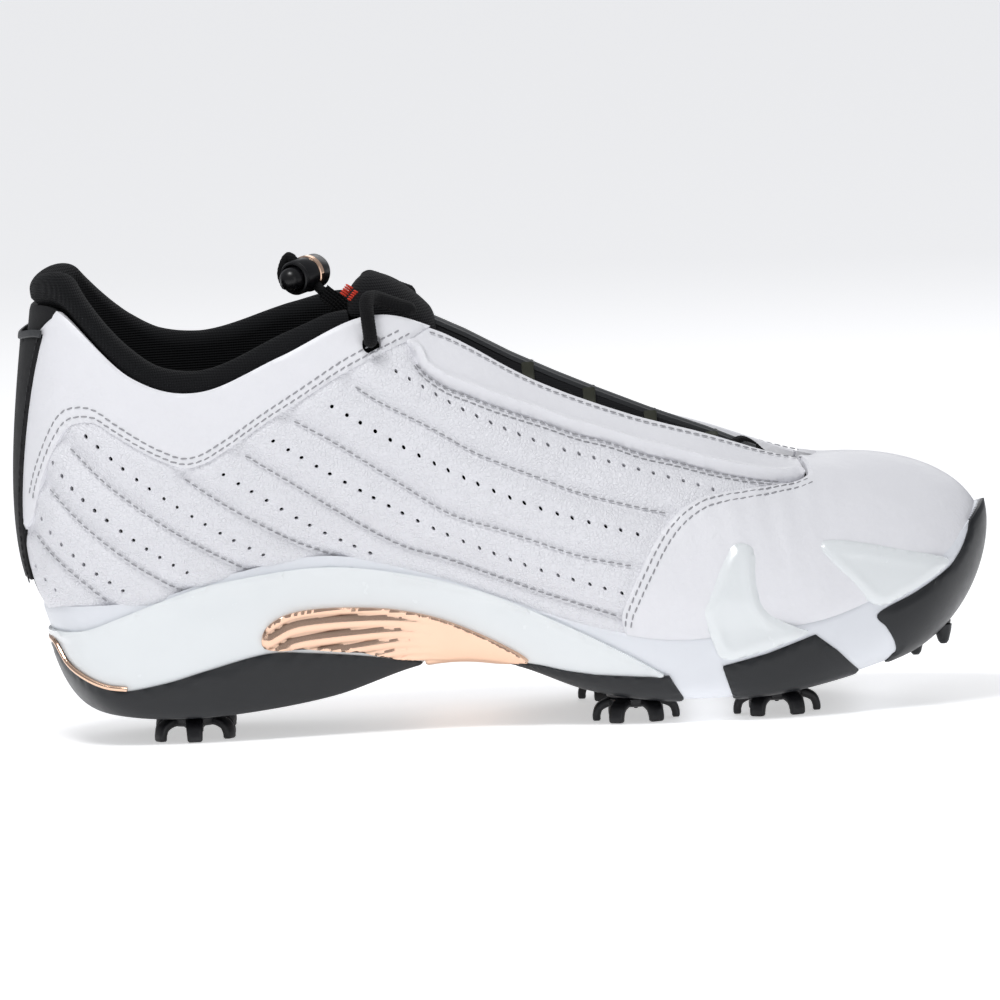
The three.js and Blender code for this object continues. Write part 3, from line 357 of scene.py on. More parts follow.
def triangulated(loops, spacing):
    """Points and triangles inside the first closed loop, which the other loops are holes in."""
    outline = np.asarray(loops[0])
    low, high = outline.min(axis=0), outline.max(axis=0)
    rows = np.arange(low[1], high[1], spacing * 0.866)
    columns = np.arange(low[0], high[0], spacing)
    grid = np.array([(x + (spacing / 2 if k % 2 else 0), y) for k, y in enumerate(rows) for x in columns])
    grid = grid[inside(outline, grid)]
    edge_points = np.vstack(loops)
    clear = nearest_distance([(*p, 0) for p in grid], [(*p, 0) for p in edge_points]) > spacing * 0.55
    grid = grid[clear]
    vertices = np.vstack([edge_points, grid])
    edges, start = [], 0
    for loop in loops:
        count = len(loop)
        edges += [(start + k, start + (k + 1) % count) for k in range(count)]
        start += count
    found = delaunay_2d_cdt([Vector(p) for p in vertices.tolist()], edges, [], 1, 1e-5)
    points, faces = np.array([tuple(p) for p in found[0]]), np.array([tuple(f) for f in found[2]])
    centres = points[faces].mean(axis=1)
    keep = inside(outline, centres)
    for hole in loops[1:]:
        keep &= ~inside(np.asarray(hole), centres)
    return points, faces[keep]


def border_edges(faces):
    """Directed edges that only one face has."""
    edges = {}
    for face in faces:
        for a, b in zip(face, np.roll(face, -1)):
            edges[(int(a), int(b))] = True
    return [edge for edge in edges if (edge[1], edge[0]) not in edges]


def skirted(points, faces, drop):
    """Adds a wall round every border of the sheet; drop is each point's place at the wall's foot."""
    edges = border_edges(faces)
    used = sorted({index for edge in edges for index in edge})
    low = {index: len(points) + k for k, index in enumerate(used)}
    vertices = np.vstack([points, drop[used]])
    walls = [(b, a, low[a], low[b]) for a, b in edges]
    return vertices, [tuple(f) for f in faces] + walls


def oriented(points, faces, normals):
    """The faces turned so that the sheet looks along its normals."""
    a, b, c = (points[faces[:, k]] for k in range(3))
    facing = np.einsum("ij,ij->i", np.cross(b - a, c - a), normals[faces[:, 0]])
    return faces[:, ::-1] if facing.sum() < 0 else faces


def panel_mesh(wall, loops, height, thickness, spacing=1.4, edge=0.8, hole_edge=0.35):
    """A skin over part of a wall. loops are (turn, up) outlines, the outer one first. height gives the
    surface's rise from its (turn, up) and its place. A run on the underside's centre line isn't rounded."""
    flat, faces = triangulated([wall.flat(loop) for loop in loops], spacing)
    turn, up = flat[:, 0] / wall.AROUND, flat[:, 1] / wall.height
    spot, normal = wall.point(turn, up), wall.normal(turn, up)
    faces = oriented(spot, faces, normal)
    rise = height(turn, up, spot)
    outer = loops[0][(loops[0][:, 1] > -0.98) & (np.abs(np.abs(loops[0][:, 0]) - 0.5) > 0.001)]
    rise = rise - rounded(nearest_distance(spot, wall.point(outer[:, 0], outer[:, 1])), edge)
    if len(loops) > 1:
        rims = np.vstack(loops[1:])
        rise = rise - rounded(nearest_distance(spot, wall.point(rims[:, 0], rims[:, 1])), hole_edge)
    top = spot + normal * rise[:, None]
    low = spot + normal * (rise - thickness)[:, None]
    return skirted(top, faces, low)


def riding(piece, body="shoe", *nodes):
    """The piece goes with a body, and stands for the CAD nodes given, which it hides."""
    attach(piece, body)
    if nodes:
        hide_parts(*nodes)
    return piece


def panel(name, wall, loops, height, thickness, material, **details):
    """A panel_mesh as a piece of the shoe, in place of the CAD node of the same name."""
    vertices, polygons = panel_mesh(wall, loops, height, thickness, **details)
    return riding(new_object(name, vertices, polygons, material), "shoe", name)


def rounded(away, radius):
    """How far a rounded edge falls, at a distance from the edge."""
    if radius <= 0:
        return np.zeros_like(away)
    part = np.clip(1 - away / radius, 0, 1)
    return radius * (1 - np.sqrt(1 - part**2 * 0.98))


def swept(centres, sections):
    """A tube with closed ends through rings of points: sections[k] is ring k. Returns vertices and faces."""
    rings, sides = len(sections), len(sections[0])
    vertices = np.vstack(sections)
    faces = []
    for r in range(rings - 1):
        for s in range(sides):
            a, b = r * sides + s, r * sides + (s + 1) % sides
            faces.append((a, b, b + sides, a + sides))
    vertices = np.vstack([vertices, centres[0], centres[-1]])
    first, last = len(vertices) - 2, len(vertices) - 1
    top = (rings - 1) * sides
    for s in range(sides):
        faces.append((first, (s + 1) % sides, s))
        faces.append((last, top + s, top + (s + 1) % sides))
    return vertices, faces


def ways_along(places):
    """The unit tangents of a path."""
    tangent = np.gradient(places, axis=0)
    return tangent / np.linalg.norm(tangent, axis=1, keepdims=True)


def frames_along(path, up):
    """Side and lift directions along a path, without twist."""
    tangent = ways_along(path)
    lift = np.zeros_like(path)
    current = np.asarray(up, float)
    for k, way in enumerate(tangent):
        current = current - way * (current @ way)
        current /= max(np.linalg.norm(current), 1e-9)
        lift[k] = current
    return np.cross(tangent, lift), lift


CORD_STEP = 0.35
STRAND_PAIRS = 3


def braided_cord(path, radius, pitch=2.4, sides=24, depth=0.07, up=(0, 0, 1)):
    """A round knitted cord along a path: two families of strands wound opposite ways raise its surface."""
    path = even(path, CORD_STEP)
    side, lift = frames_along(path, up)
    run = np.arange(len(path)) * CORD_STEP
    angle = np.linspace(0, 2 * np.pi, sides, endpoint=False)
    sections = []
    for k, centre in enumerate(path):
        turn = run[k] * 2 * np.pi / pitch
        raised = np.sin(STRAND_PAIRS * angle + turn) * np.sin(STRAND_PAIRS * angle - turn)
        from_end = min(k, len(path) - 1 - k) * CORD_STEP
        r = radius * (1 + depth * raised) * min(1.0, math.sqrt(max(0.02, from_end / radius)))
        sections.append(centre + np.outer(r * np.cos(angle), side[k]) + np.outer(r * np.sin(angle), lift[k]))
    return swept(path, sections)


def joined(parts):
    """Several (vertices, faces) as one."""
    vertices, faces, start = [], [], 0
    for points, polygons in parts:
        vertices.append(points)
        faces += [tuple(index + start for index in polygon) for polygon in polygons]
        start += len(points)
    return np.vstack(vertices), faces


def capsule(sides=6):
    """A unit capsule along X, from -0.5 to 0.5, radius 1 in Y and Z."""
    points, faces = [], []
    stops = [(-0.5, 0.35), (-0.38, 0.85), (0, 1.0), (0.38, 0.85), (0.5, 0.35)]
    for x, r in stops:
        for s in range(sides):
            angle = 2 * math.pi * s / sides
            points.append((x, r * math.cos(angle), r * math.sin(angle)))
    for ring in range(len(stops) - 1):
        for s in range(sides):
            a, b = ring * sides + s, ring * sides + (s + 1) % sides
            faces.append((a, b, b + sides, a + sides))
    faces.append(tuple(range(sides))[::-1])
    faces.append(tuple(range((len(stops) - 1) * sides, len(stops) * sides)))
    return np.array(points), faces


def stitches(name, rows, material, length=2.0, pitch=2.7, radius=0.28):
    """Rows of thread. Each row is (places, normals) along the seam, at any spacing."""
    unit, unit_faces = capsule()
    parts = []
    for places, normals in rows:
        both = even(np.hstack([places, normals]), pitch)
        spots, ways = both[:, :3], both[:, 3:]
        ways /= np.linalg.norm(ways, axis=1, keepdims=True)
        tangent = ways_along(spots)
        side = np.cross(ways, tangent)
        for k in range(len(spots)):
            tilt = tangent[k] + ways[k] * rng.uniform(-0.05, 0.05) + side[k] * rng.uniform(0.04, 0.14)
            stretch = length * rng.uniform(0.93, 1.05)
            points = (spots[k] + np.outer(unit[:, 0] * stretch, tilt)
                      + np.outer(unit[:, 1] * radius, side[k]) + np.outer(unit[:, 2] * radius * 0.8, ways[k]))
            parts.append((points, unit_faces))
    vertices, faces = joined(parts)
    riding(new_object(name, vertices, faces, material, sharp=80))


# ------------------------------------------------------------------ materials

def mixed(tree, factor, first, second, blend="MIX"):
    """A colour mix. Each input is a value or another node's output."""
    mix = tree.nodes.new("ShaderNodeMix")
    mix.data_type, mix.blend_type = "RGBA", blend
    for name, value in (("Factor", factor), ("A", first), ("B", second)):
        if isinstance(value, (float, tuple)):
            mix.inputs[name].default_value = value
        else:
            tree.links.new(value, mix.inputs[name])
    return mix.outputs["Result"]


def math_node(tree, operation, *values):
    node = tree.nodes.new("ShaderNodeMath")
    node.operation = operation
    for socket, value in zip(node.inputs, values):
        if isinstance(value, (int, float)):
            socket.default_value = value
        else:
            tree.links.new(value, socket)
    return node.outputs[0]


def wave(tree, place, way, pitch):
    """A sine from -1 to 1 along a direction, repeating every pitch millimetres."""
    dot = tree.nodes.new("ShaderNodeVectorMath")
    dot.operation = "DOT_PRODUCT"
    dot.inputs[1].default_value = tuple(Vector(way).normalized() * (2 * math.pi / (pitch * MM)))
    tree.links.new(place, dot.inputs[0])
    return math_node(tree, "SINE", dot.outputs["Value"])


# The two directions whose waves cross in each cloth.
CLOTHS = {"weave": ((1, 0.4, 1), (1, 0.4, -1)), "mesh": ((1, 0, 0.5), (0, 0.5, 1)),
          "ribs": ((1, 0, 0.2), (1, 0, 0.2))}


def relief(tree, place, kind, size):
    """One layer of relief, from about 0 to 1."""
    if kind == "noise":
        noise = tree.nodes.new("ShaderNodeTexNoise")
        noise.inputs["Scale"].default_value = 1 / (size * MM)
        noise.inputs["Detail"].default_value = 3
        tree.links.new(place, noise.inputs["Vector"])
        return noise.outputs["Fac"]
    if kind == "grain":
        cells = tree.nodes.new("ShaderNodeTexVoronoi")
        cells.feature = "DISTANCE_TO_EDGE"
        cells.inputs["Scale"].default_value = 1 / (size * MM)
        tree.links.new(place, cells.inputs["Vector"])
        return math_node(tree, "MINIMUM", math_node(tree, "MULTIPLY", cells.outputs["Distance"], 4), 1)
    first, second = (wave(tree, place, way, size) for way in CLOTHS[kind])
    return math_node(tree, "MULTIPLY_ADD", math_node(tree, "MULTIPLY", first, second), 0.5, 0.5)


STAIN_SIZE = 14


def shade(name, color, roughness, layers, stain=0.05, metallic=0.0, coat=0.0, sheen=0.0, hollow_shade=0.0,
          shine=0.5, slot=None):
    """A procedural finish in a slot of the record. layers of relief are (kind, size, height) in millimetres,
    and hollow_shade is how much painted shade darkens the colour where the first of them is low."""
    material = bpy.data.materials.new(name)
    material.use_nodes = True
    tree = material.node_tree
    shader = tree.nodes["Principled BSDF"]
    place = tree.nodes.new("ShaderNodeTexCoord").outputs["Object"]
    patches = relief(tree, place, "noise", STAIN_SIZE)
    shaded = mixed(tree, patches, (*color, 1), (*(c * (1 - 2 * stain) for c in color), 1))
    normal = None
    for index, (kind, size, height) in enumerate(layers):
        layer = relief(tree, place, kind, size)
        bump = tree.nodes.new("ShaderNodeBump")
        bump.inputs["Strength"].default_value = 1.0
        bump.inputs["Distance"].default_value = height * MM
        tree.links.new(layer, bump.inputs["Height"])
        if normal:
            tree.links.new(normal, bump.inputs["Normal"])
        normal = bump.outputs["Normal"]
        # Painted shade: the colour darkens where the first relief layer is low.
        if index == 0 and hollow_shade:
            shaded = mixed(tree, hollow_shade, shaded, layer, "MULTIPLY")
    tree.links.new(normal, shader.inputs["Normal"])
    tree.links.new(shaded, shader.inputs["Base Color"])
    worn = relief(tree, place, "noise", STAIN_SIZE / 4)
    tree.links.new(math_node(tree, "MULTIPLY_ADD", worn, 0.16, roughness - 0.08), shader.inputs["Roughness"])
    values = {"Metallic": metallic, "Coat Weight": coat, "Coat Roughness": 0.08, "Sheen Weight": sheen,
              "Specular IOR Level": shine}
    for socket, value in values.items():
        shader.inputs[socket].default_value = value
    material["slot"] = slot or name
    return material


CLOTH_SHINE = 0.12
SMOOTH_LEATHER = shade("smooth_leather", (0.83, 0.83, 0.86), 0.42, [("noise", 1.6, 0.12), ("noise", 9, 0.5)],
                       0.02, slot="white_leather")
GRAIN_LEATHER = shade("grain_leather", (0.81, 0.81, 0.845), 0.46, [("grain", 1.3, 0.16),
                                                                   ("noise", 0.7, 0.09)], 0.03)
THREAD = shade("thread", (0.36, 0.36, 0.38), 0.6, [("ribs", 0.5, 0.08)], slot="white_leather")
DARK_THREAD = shade("dark_thread", (0.018, 0.018, 0.02), 0.7, [("ribs", 0.5, 0.08)], slot="black_neoprene")
WHITE_PLASTIC = shade("white_plastic", (0.82, 0.85, 0.86), 0.24, [("noise", 0.5, 0.01)], 0.02, coat=0.3)
WHITE_FOAM = shade("white_foam", (0.79, 0.81, 0.85), 0.4, [("noise", 0.6, 0.03)], 0.02)
# The black knit, lining, lace and sockliner below darken the hollows of their weave with painted shade.
KNIT = shade("black_knit", (0.011, 0.0115, 0.013), 0.85, [("weave", 1.1, 0.35), ("noise", 0.3, 0.1)], 0.15,
             sheen=0.04, hollow_shade=0.5, shine=CLOTH_SHINE)
LINING = shade("lining_mesh", (0.011, 0.0115, 0.013), 0.8, [("mesh", 2.2, 0.5), ("noise", 0.3, 0.08)], 0.15,
               sheen=0.04, hollow_shade=0.7, shine=CLOTH_SHINE, slot="black_knit")
NEOPRENE = shade("black_neoprene", (0.010, 0.010, 0.011), 0.6, [("noise", 0.5, 0.06)], 0.15, shine=0.25)
TONGUE_CLOTH = shade("ribbed_cloth", (0.012, 0.0125, 0.014), 0.75, [("weave", 0.9, 0.12)], 0.15, sheen=0.04,
                     shine=CLOTH_SHINE)
TRIM = shade("grey_trim", (0.045, 0.047, 0.05), 0.5, [("weave", 0.7, 0.06)], 0.1, shine=0.3)
LACE = shade("lace_cloth", (0.009, 0.009, 0.010), 0.8, [("weave", 0.7, 0.2), ("noise", 0.35, 0.15)], 0.15,
             sheen=0.05, hollow_shade=0.4, shine=CLOTH_SHINE)
WEBBING = shade("olive_webbing", (0.040, 0.042, 0.028), 0.45, [("ribs", 0.8, 0.12)], 0.15, sheen=0.1,
                shine=0.25)
COPPER = shade("copper", (0.88, 0.60, 0.44), 0.14, [("noise", 0.5, 0.01)], 0.04, metallic=1.0)
RIBBED_COPPER = shade("ribbed_copper", (0.90, 0.62, 0.46), 0.2, [("noise", 0.5, 0.01)], 0.04, metallic=1.0,
                      slot="copper")
RUBBER = shade("charcoal_rubber", (0.012, 0.0135, 0.016), 0.36, [("noise", 0.4, 0.03)], 0.15, shine=0.4)
SPIKE_PLASTIC = shade("spike_plastic", (0.010, 0.010, 0.012), 0.4, [("noise", 0.6, 0.03)], 0.15, shine=0.4)
SOCKET_PLASTIC = shade("socket_plastic", (0.03, 0.03, 0.034), 0.45, [("noise", 0.5, 0.02)], 0.15)
GLOSS = shade("gloss_black", (0.006, 0.006, 0.007), 0.3, [("noise", 3, 0.01)], 0.1, shine=0.35)
STEEL = shade("spring_steel", (0.6, 0.61, 0.63), 0.25, [("noise", 0.4, 0.01)], 0.04, metallic=1.0)
RED = shade("red_thread", (0.75, 0.05, 0.02), 0.6, [("ribs", 0.5, 0.1)], slot="black_knit")
SOCKLINER = shade("sockliner_cloth", (0.03, 0.032, 0.036), 0.85, [("mesh", 1.4, 0.2)], 0.15, sheen=0.1,
                  hollow_shade=0.4, shine=CLOTH_SHINE)
BOARD = shade("insole_board", (0.5, 0.42, 0.28), 0.85, [("noise", 0.5, 0.1)], 0.1)
STIFFENER = shade("stiffener", (0.5, 0.48, 0.42), 0.8, [("noise", 0.6, 0.1)], 0.1)


def paint_groove_shade(material, attribute, groove_shade_color):
    """Mixes painted shade, a darker colour, in where a mesh's attribute nears 1."""
    tree = material.node_tree
    target = tree.nodes["Principled BSDF"].inputs["Base Color"]
    shade_mark = tree.nodes.new("ShaderNodeAttribute")
    shade_mark.attribute_name = attribute
    deep = math_node(tree, "POWER", shade_mark.outputs["Fac"], 3.0)
    tree.links.new(mixed(tree, deep, target.links[0].from_socket, (*groove_shade_color, 1)), target)


# Painted shade in the copper shank's rib grooves, standing in for the dark reflections there.
paint_groove_shade(RIBBED_COPPER, "groove", (0.16, 0.07, 0.04))


# --------------------------------------------------------- the upper's outlines, as (x, z) from the side

COLLAR_SEAM = [(-145.1, 72.5), (-142.7, 81.8), (-139.8, 89.6), (-137, 95.4), (-133.6, 100.3), (-130.3, 102),
               (-124.9, 101.9), (-119.8, 98.6), (-111.3, 93.1), (-104.9, 89.6), (-98.3, 87.1), (-91.5, 88),
               (-85, 91.4), (-79.2, 94.9), (-70.8, 100.1), (-61.4, 105.3), (-48.5, 112.5), (-41.1, 115.9),
               (-32.1, 119.6), (-25, 122.2)]
VAMP_SEAM = [(36.6, 30.5), (36.2, 34.4), (38.6, 40.2), (43.3, 49.3), (48.8, 58.3), (54.1, 64), (60.2, 67.8),
             (67.1, 69.6), (83.9, 70.4), (93, 71.0), (96.5, 72.4)]
EYESTAY_SEAM = [(-24, 117.5), (-21.9, 112.8), (-15.4, 107.8), (-8.7, 104.7), (-2.1, 101.6), (7.3, 97.7),
                (15.3, 94.5), (24.6, 90.6), (34.7, 87.4), (44.7, 83.4), (54.7, 80.5), (69.3, 75.9),
                (83.2, 72.6), (92, 71.9), (95.4, 72.6)]
CHANNELS = [[(-146.1, 67.6), (-138.9, 58.9), (-123.1, 44.8)], [(-141, 82.6), (-130.4, 70.4), (-115.4, 57.6),
                                                               (-99.2, 47.3)],
            [(-133.8, 95.3), (-121.9, 82.6), (-105.3, 69.4), (-91.7, 60.5), (-78, 52.6)],
            [(-98.7, 84.4), (-87.7, 76.1), (-75.6, 68.2), (-63.7, 61.4), (-50.5, 55.7)],
            [(-79.6, 90.6), (-62.5, 78.9), (-47.3, 68.3), (-31.5, 58.8), (-16.4, 53.5), (10.1, 43),
             (35.7, 34)], [(-63.9, 100.4), (-50, 91.8), (-31.1, 78.5), (-15.9, 68.2), (-0.6, 62.7),
                           (10.9, 58.4), (24.2, 53.5), (41.1, 49.6)], [(-44.2, 110), (-36.1, 104.1),
                                                                       (-20.4, 95.1), (-6.3, 86.4),
                                                                       (13, 77.8), (23.6, 73.2), (35.7, 69.4),
                                                                       (52.5, 64.8)], ]
PUNCHED_ROWS = [
    (3, [(-145.2, 56.5), (-142.8, 53.1), (-139.5, 49.6)]),
    (9, [(-144.4, 76.4), (-141, 69.2), (-134.9, 62.2), (-127.4, 55.5), (-118.7, 49.4)]),
    (12, [(-138.4, 89.6), (-130.6, 79.3), (-119.5, 69.2), (-107.2, 59.9), (-98.6, 54.4)]),
    (14, [(-127.6, 97.9), (-117, 87.9), (-104.9, 78.2), (-88.2, 66.5), (-74.7, 58.5)]),
    (11, [(-85.6, 84.3), (-72, 75.1), (-59, 66.5), (-50.2, 61.7), (-41.2, 57.1)]),
    (24, [(-69.6, 93.9), (-47.1, 79.3), (-20.5, 63.7), (7.9, 51.2), (36.5, 41.7)]),
    (21, [(-50.8, 103.5), (-23.9, 86.5), (-1, 74.4), (18, 66.6), (42.2, 59.2)]),
    (23, [(-30.4, 112.9), (-8.5, 98.9), (14.3, 87.8), (38, 79.8), (66.4, 70.9)]),
]
# The heel panel's edge and the pull tab's, as [y from the heel line, z] from behind.
HEEL_EDGE = [(8.5, 43), (9.5, 60), (10, 90), (10, 118), (13, 127), (17, 132), (20, 135)]
TAB_EDGE = [(8.5, 52), (11, 70), (14.5, 95), (18, 129)]
HEEL_Y = -3.5
COLLAR_LOW = 67             # how low the collar panel reaches beside the heel panel
EYESTAY_CORNER = (-19.2, 124.8)
SLOT_CENTRE = (-37.6, 121.6)
HOLE_RADIUS = 0.7344
ROW_INSETS = (1.6, 4.2)      # from the collar panel's edge to its two stitch rows


def side_way(side):
    return -1 if side == MEDIAL else 1


def even_turn(side, places):
    """(turn, up) places with the lateral side's turns counted back from the heel, so as negative ones."""
    return places if side == MEDIAL else places - (1, 0)


def heel_edge(side, edge):
    """A back-view edge as (turn, up)."""
    points = smooth_line([(HEEL_Y + side_way(side) * y, z) for y, z in edge])
    return upper.find(side, points, axes=(1, 2), reach=0.12)


def on_side(side, points, wall=upper):
    """A side-view curve as (turn, up) on a wall."""
    return wall.find(side, smooth_line(points))


def loop_of(wall, segments, pitch=1.2):
    """A closed outline from (turn, up) segments that follow each other."""
    parts = []
    for index, segment in enumerate(segments):
        after = segments[(index + 1) % len(segments)][0]
        whole = np.vstack([segment, after])
        parts.append(even(wall.flat(whole), pitch)[:-1])
    return np.vstack(parts) / (wall.AROUND, wall.height)


def level(start, end, up):
    """A run at one height between two turns."""
    return np.array([(start, up), (end, up)], float)


def shifted(wall, places, distance):
    """(turn, up) places moved to the left of their run by a distance in millimetres."""
    flat = wall.flat(places)
    way = np.gradient(flat, axis=0)
    way /= np.maximum(np.linalg.norm(way, axis=1, keepdims=True), 1e-9)
    return (flat + np.stack([-way[:, 1], way[:, 0]], axis=1) * distance) / (wall.AROUND, wall.height)


def seam_row(wall, places, rise):
    """A stitch row's places and normals along (turn, up) places."""
    normal = wall.normal(places[:, 0], places[:, 1])
    return wall.point(places[:, 0], places[:, 1]) + normal * rise, normal


def find_seams(side):
    """The lines between one side's panels, as (turn, up)."""
    edge = heel_edge(side, HEEL_EDGE)
    split = int(np.argmin(np.abs(upper.point(edge[:, 0], edge[:, 1])[:, 2] - COLLAR_LOW)))
    corner = upper.find(side, [EYESTAY_CORNER])[0]
    return {
        "heel_low": edge[:split + 1], "heel_high": edge[split:],
        "collar": np.vstack([edge[split], on_side(side, COLLAR_SEAM), (corner[0], 1.0)]),
        "vamp": on_side(side, VAMP_SEAM), "eyestay": on_side(side, EYESTAY_SEAM),
        "channels": [on_side(side, line) for line in CHANNELS],
    }


SEAMS = {side: find_seams(side) for side in SIDES}


def flat_distance(wall, lines, turn, up):
    return distance_to([wall.flat(line)[::2] for line in lines], wall.flat(np.stack([turn, up], axis=1)))


# ------------------------------------------------------------------ the upper

def punched_holes(side):
    """Round holes along the bands, as (turn, up) outlines."""
    holes = []
    angles = np.linspace(0, 2 * np.pi, 10, endpoint=False)
    for count, row in PUNCHED_ROWS:
        line = smooth_line(row, 0.6)
        places = upper.find(side, line[np.linspace(0, len(line) - 1, count).round().astype(int)])
        for turn, up in places:
            centre = upper.flat((turn, up))
            ring = centre + HOLE_RADIUS * np.stack([np.cos(angles), np.sin(angles)], axis=1)
            holes.append(ring / (upper.AROUND, upper.height))
    return holes


def make_quarter(side):
    """The quilted and punched grain leather, which runs in under the panels sewn over it."""
    seam = SEAMS[side]
    left = side_way(side)
    collar = shifted(upper, seam["collar"], -2.2 * left)[4:-2]
    eyestay = shifted(upper, seam["eyestay"], -2.0 * left)[1:-4]
    vamp = shifted(upper, seam["vamp"], 2.2 * left)[-4::-1]
    foot = level(vamp[-1][0], seam["heel_low"][0][0], 0.0)
    loop = loop_of(upper, [collar, eyestay, vamp, foot, seam["heel_low"]])
    grooves = seam["channels"] + [seam["eyestay"]]

    def height(turn, up, spot):
        away = flat_distance(upper, grooves, turn, up)
        covered = flat_distance(upper, [seam["collar"], seam["vamp"]], turn, up)
        return 1.85 * (1 - np.exp(-(away / 3.8) ** 2)) - 0.6 - 0.7 * np.exp(-(covered / 2.6) ** 2)

    panel(f"{side}_quarter", upper, [loop] + punched_holes(side), height, 1.8, GRAIN_LEATHER, edge=0.2,
          hole_edge=0.3)


def collar_slot(side):
    """The oval slot that the side cord enters, as a (turn, up) outline."""
    points = []
    for a in np.linspace(0.01, 2 * math.pi + 0.01, 20, endpoint=False):
        rise = math.copysign(abs(math.sin(a)) ** 0.8, math.sin(a))
        points.append((SLOT_CENTRE[0] + 2.9 * math.cos(a), SLOT_CENTRE[1] + 2.86 * rise))
    return upper.find(side, points)


def make_collar_panel(side):
    """The smooth panel under the ankle. Returns its stitch rows."""
    seam = SEAMS[side]
    corner, back_top = seam["collar"][-1], seam["heel_high"][-1]
    top = level(corner[0], back_top[0], 1.0)
    down = seam["heel_high"][::-1]
    loop = loop_of(upper, [seam["collar"][:-1], top, down[1:]])

    def height(turn, up, spot):
        x, z = spot[:, 0], spot[:, 2]
        hollow = np.exp(-((x + 37.4) / 2.6) ** 2)
        hollow *= np.clip((z - 112) / 3, 0, 1) * np.clip((120 - z) / 4, 0, 1)
        crease = np.sin(z * 0.9 + x * 0.25) * np.exp(-((x + 95) / 40) ** 2) * np.clip((up - 0.35) * 2, 0, 1)
        return 1.5 - 0.75 * hollow + 0.07 * crease

    panel(f"{side}_collar_panel", upper, [loop, collar_slot(side)], height, 2.6, SMOOTH_LEATHER, edge=0.8,
          hole_edge=0.5)
    first, second = (shifted(upper, seam["collar"], -inset * side_way(side)) for inset in ROW_INSETS)
    return [seam_row(upper, first[6:-2], 1.5), seam_row(upper, second[6:-4], 1.55)]


def make_eyestay(side):
    """The band beside the laces, with a padded roll along its foot. Returns its stitch rows."""
    low, collar = SEAMS[side]["eyestay"], SEAMS[side]["collar"]
    top_front = upper.find(side, [(96, 75.8)])[0][0]
    loop = loop_of(upper, [low, level(top_front, collar[-8][0], 1.0)])

    def height(turn, up, spot):
        away = flat_distance(upper, [low], turn, up)
        roll = 2.1 * np.exp(-((away - 2.9) / 1.9) ** 2)
        top = flat_distance(upper, [level(top_front, low[0][0], 1.0)], turn, up)
        lip = 0.5 * np.exp(-((top - 1.0) / 0.9) ** 2)
        return 0.5 + roll + lip

    panel(f"{side}_eyestay", upper, [loop], height, 2.4, SMOOTH_LEATHER, spacing=1.1, edge=0.8)
    first, second = (shifted(upper, low, out * side_way(side))[3:-8] for out in (0.9, 2.9))
    turns = np.linspace(collar[-1][0], top_front, 90)
    rim = np.stack([turns, np.full(90, 0.968)], axis=1)
    return [seam_row(upper, first, 0.05), seam_row(upper, second, 0.45), seam_row(upper, rim, 1.0)]


def make_vamp():
    """The smooth leather over the toe. Returns its stitch rows."""
    medial, lateral = (SEAMS[side]["vamp"] for side in SIDES)
    tips = [upper.find(side, [(97, 75.6)])[0][0] for side in SIDES]
    foot = level(lateral[0][0], medial[0][0], 0.0)
    loop = loop_of(upper, [medial, level(*tips, 1.0), lateral[::-1], foot])

    def height(turn, up, spot):
        x = spot[:, 0]
        flex = np.exp(-((x - 82) / 24) ** 2) * np.clip(up * 1.4, 0, 1)
        y = spot[:, 1]
        crease = np.sin(x * 0.55 + 3 * up + 0.8 * np.sin(y * 0.12)) * np.sin(x * 0.21 + y * 0.09)
        return 1.5 + 0.22 * flex * crease

    panel("vamp", upper, [loop], height, 2.2, SMOOTH_LEATHER, edge=1.0)
    rows = []
    for side in SIDES:
        edge = SEAMS[side]["vamp"]
        for inset in (1.8, 4.2):
            rows.append(seam_row(upper, shifted(upper, edge, inset * side_way(side))[2:-2], 1.55))
    return rows


def constant(rise):
    """A height of a panel that is the same all over."""
    return lambda turn, up, spot: rise + 0 * turn


def make_heel():
    """The black heel panel, the pull tab over it and the tab's binding."""
    medial, lateral = (even_turn(side, heel_edge(side, HEEL_EDGE)) for side in SIDES)
    top, foot = level(medial[-1][0], lateral[-1][0], 1.0), level(lateral[0][0], medial[0][0], 0.0)
    loop = loop_of(upper, [medial, top, lateral[::-1], foot])
    panel("heel_panel", upper, [loop], constant(0.3), 2.0, NEOPRENE, edge=0.3)
    medial, lateral = (even_turn(side, heel_edge(side, TAB_EDGE)) for side in SIDES)
    loop = loop_of(upper, [medial, lateral[::-1]])
    panel("heel_pull_tab", upper, [loop], constant(2.4), 2.0, NEOPRENE, edge=0.7)
    edges = shifted(upper, medial, 1.6), shifted(upper, lateral, -1.6)
    stitches("heel_tab_stitching", [seam_row(upper, edge, 2.45) for edge in edges], DARK_THREAD)
    binding = even(np.vstack([medial[-1], lateral[-1]]), 0.002)
    vertices, faces = ribbon(*seam_row(upper, binding, 2.3), 2.4, 0.9)
    riding(new_object("heel_tab_binding", vertices, faces, TRIM))


def ribbon(places, normals, width, thickness):
    """A rounded band along places, lying on the surface whose normals are given."""
    across = np.cross(normals, ways_along(places))
    profile = [(-0.5, 0), (-0.48, 0.6), (-0.36, 0.95), (0, 1.05), (0.36, 0.95), (0.48, 0.6), (0.5, 0),
               (0, -0.2)]
    wide, thick = (np.array(values) * size for values, size in zip(zip(*profile), (width, thickness)))
    sections = [place + np.outer(wide, across[k]) + np.outer(thick, normals[k])
                for k, place in enumerate(places)]
    return swept(places, sections)


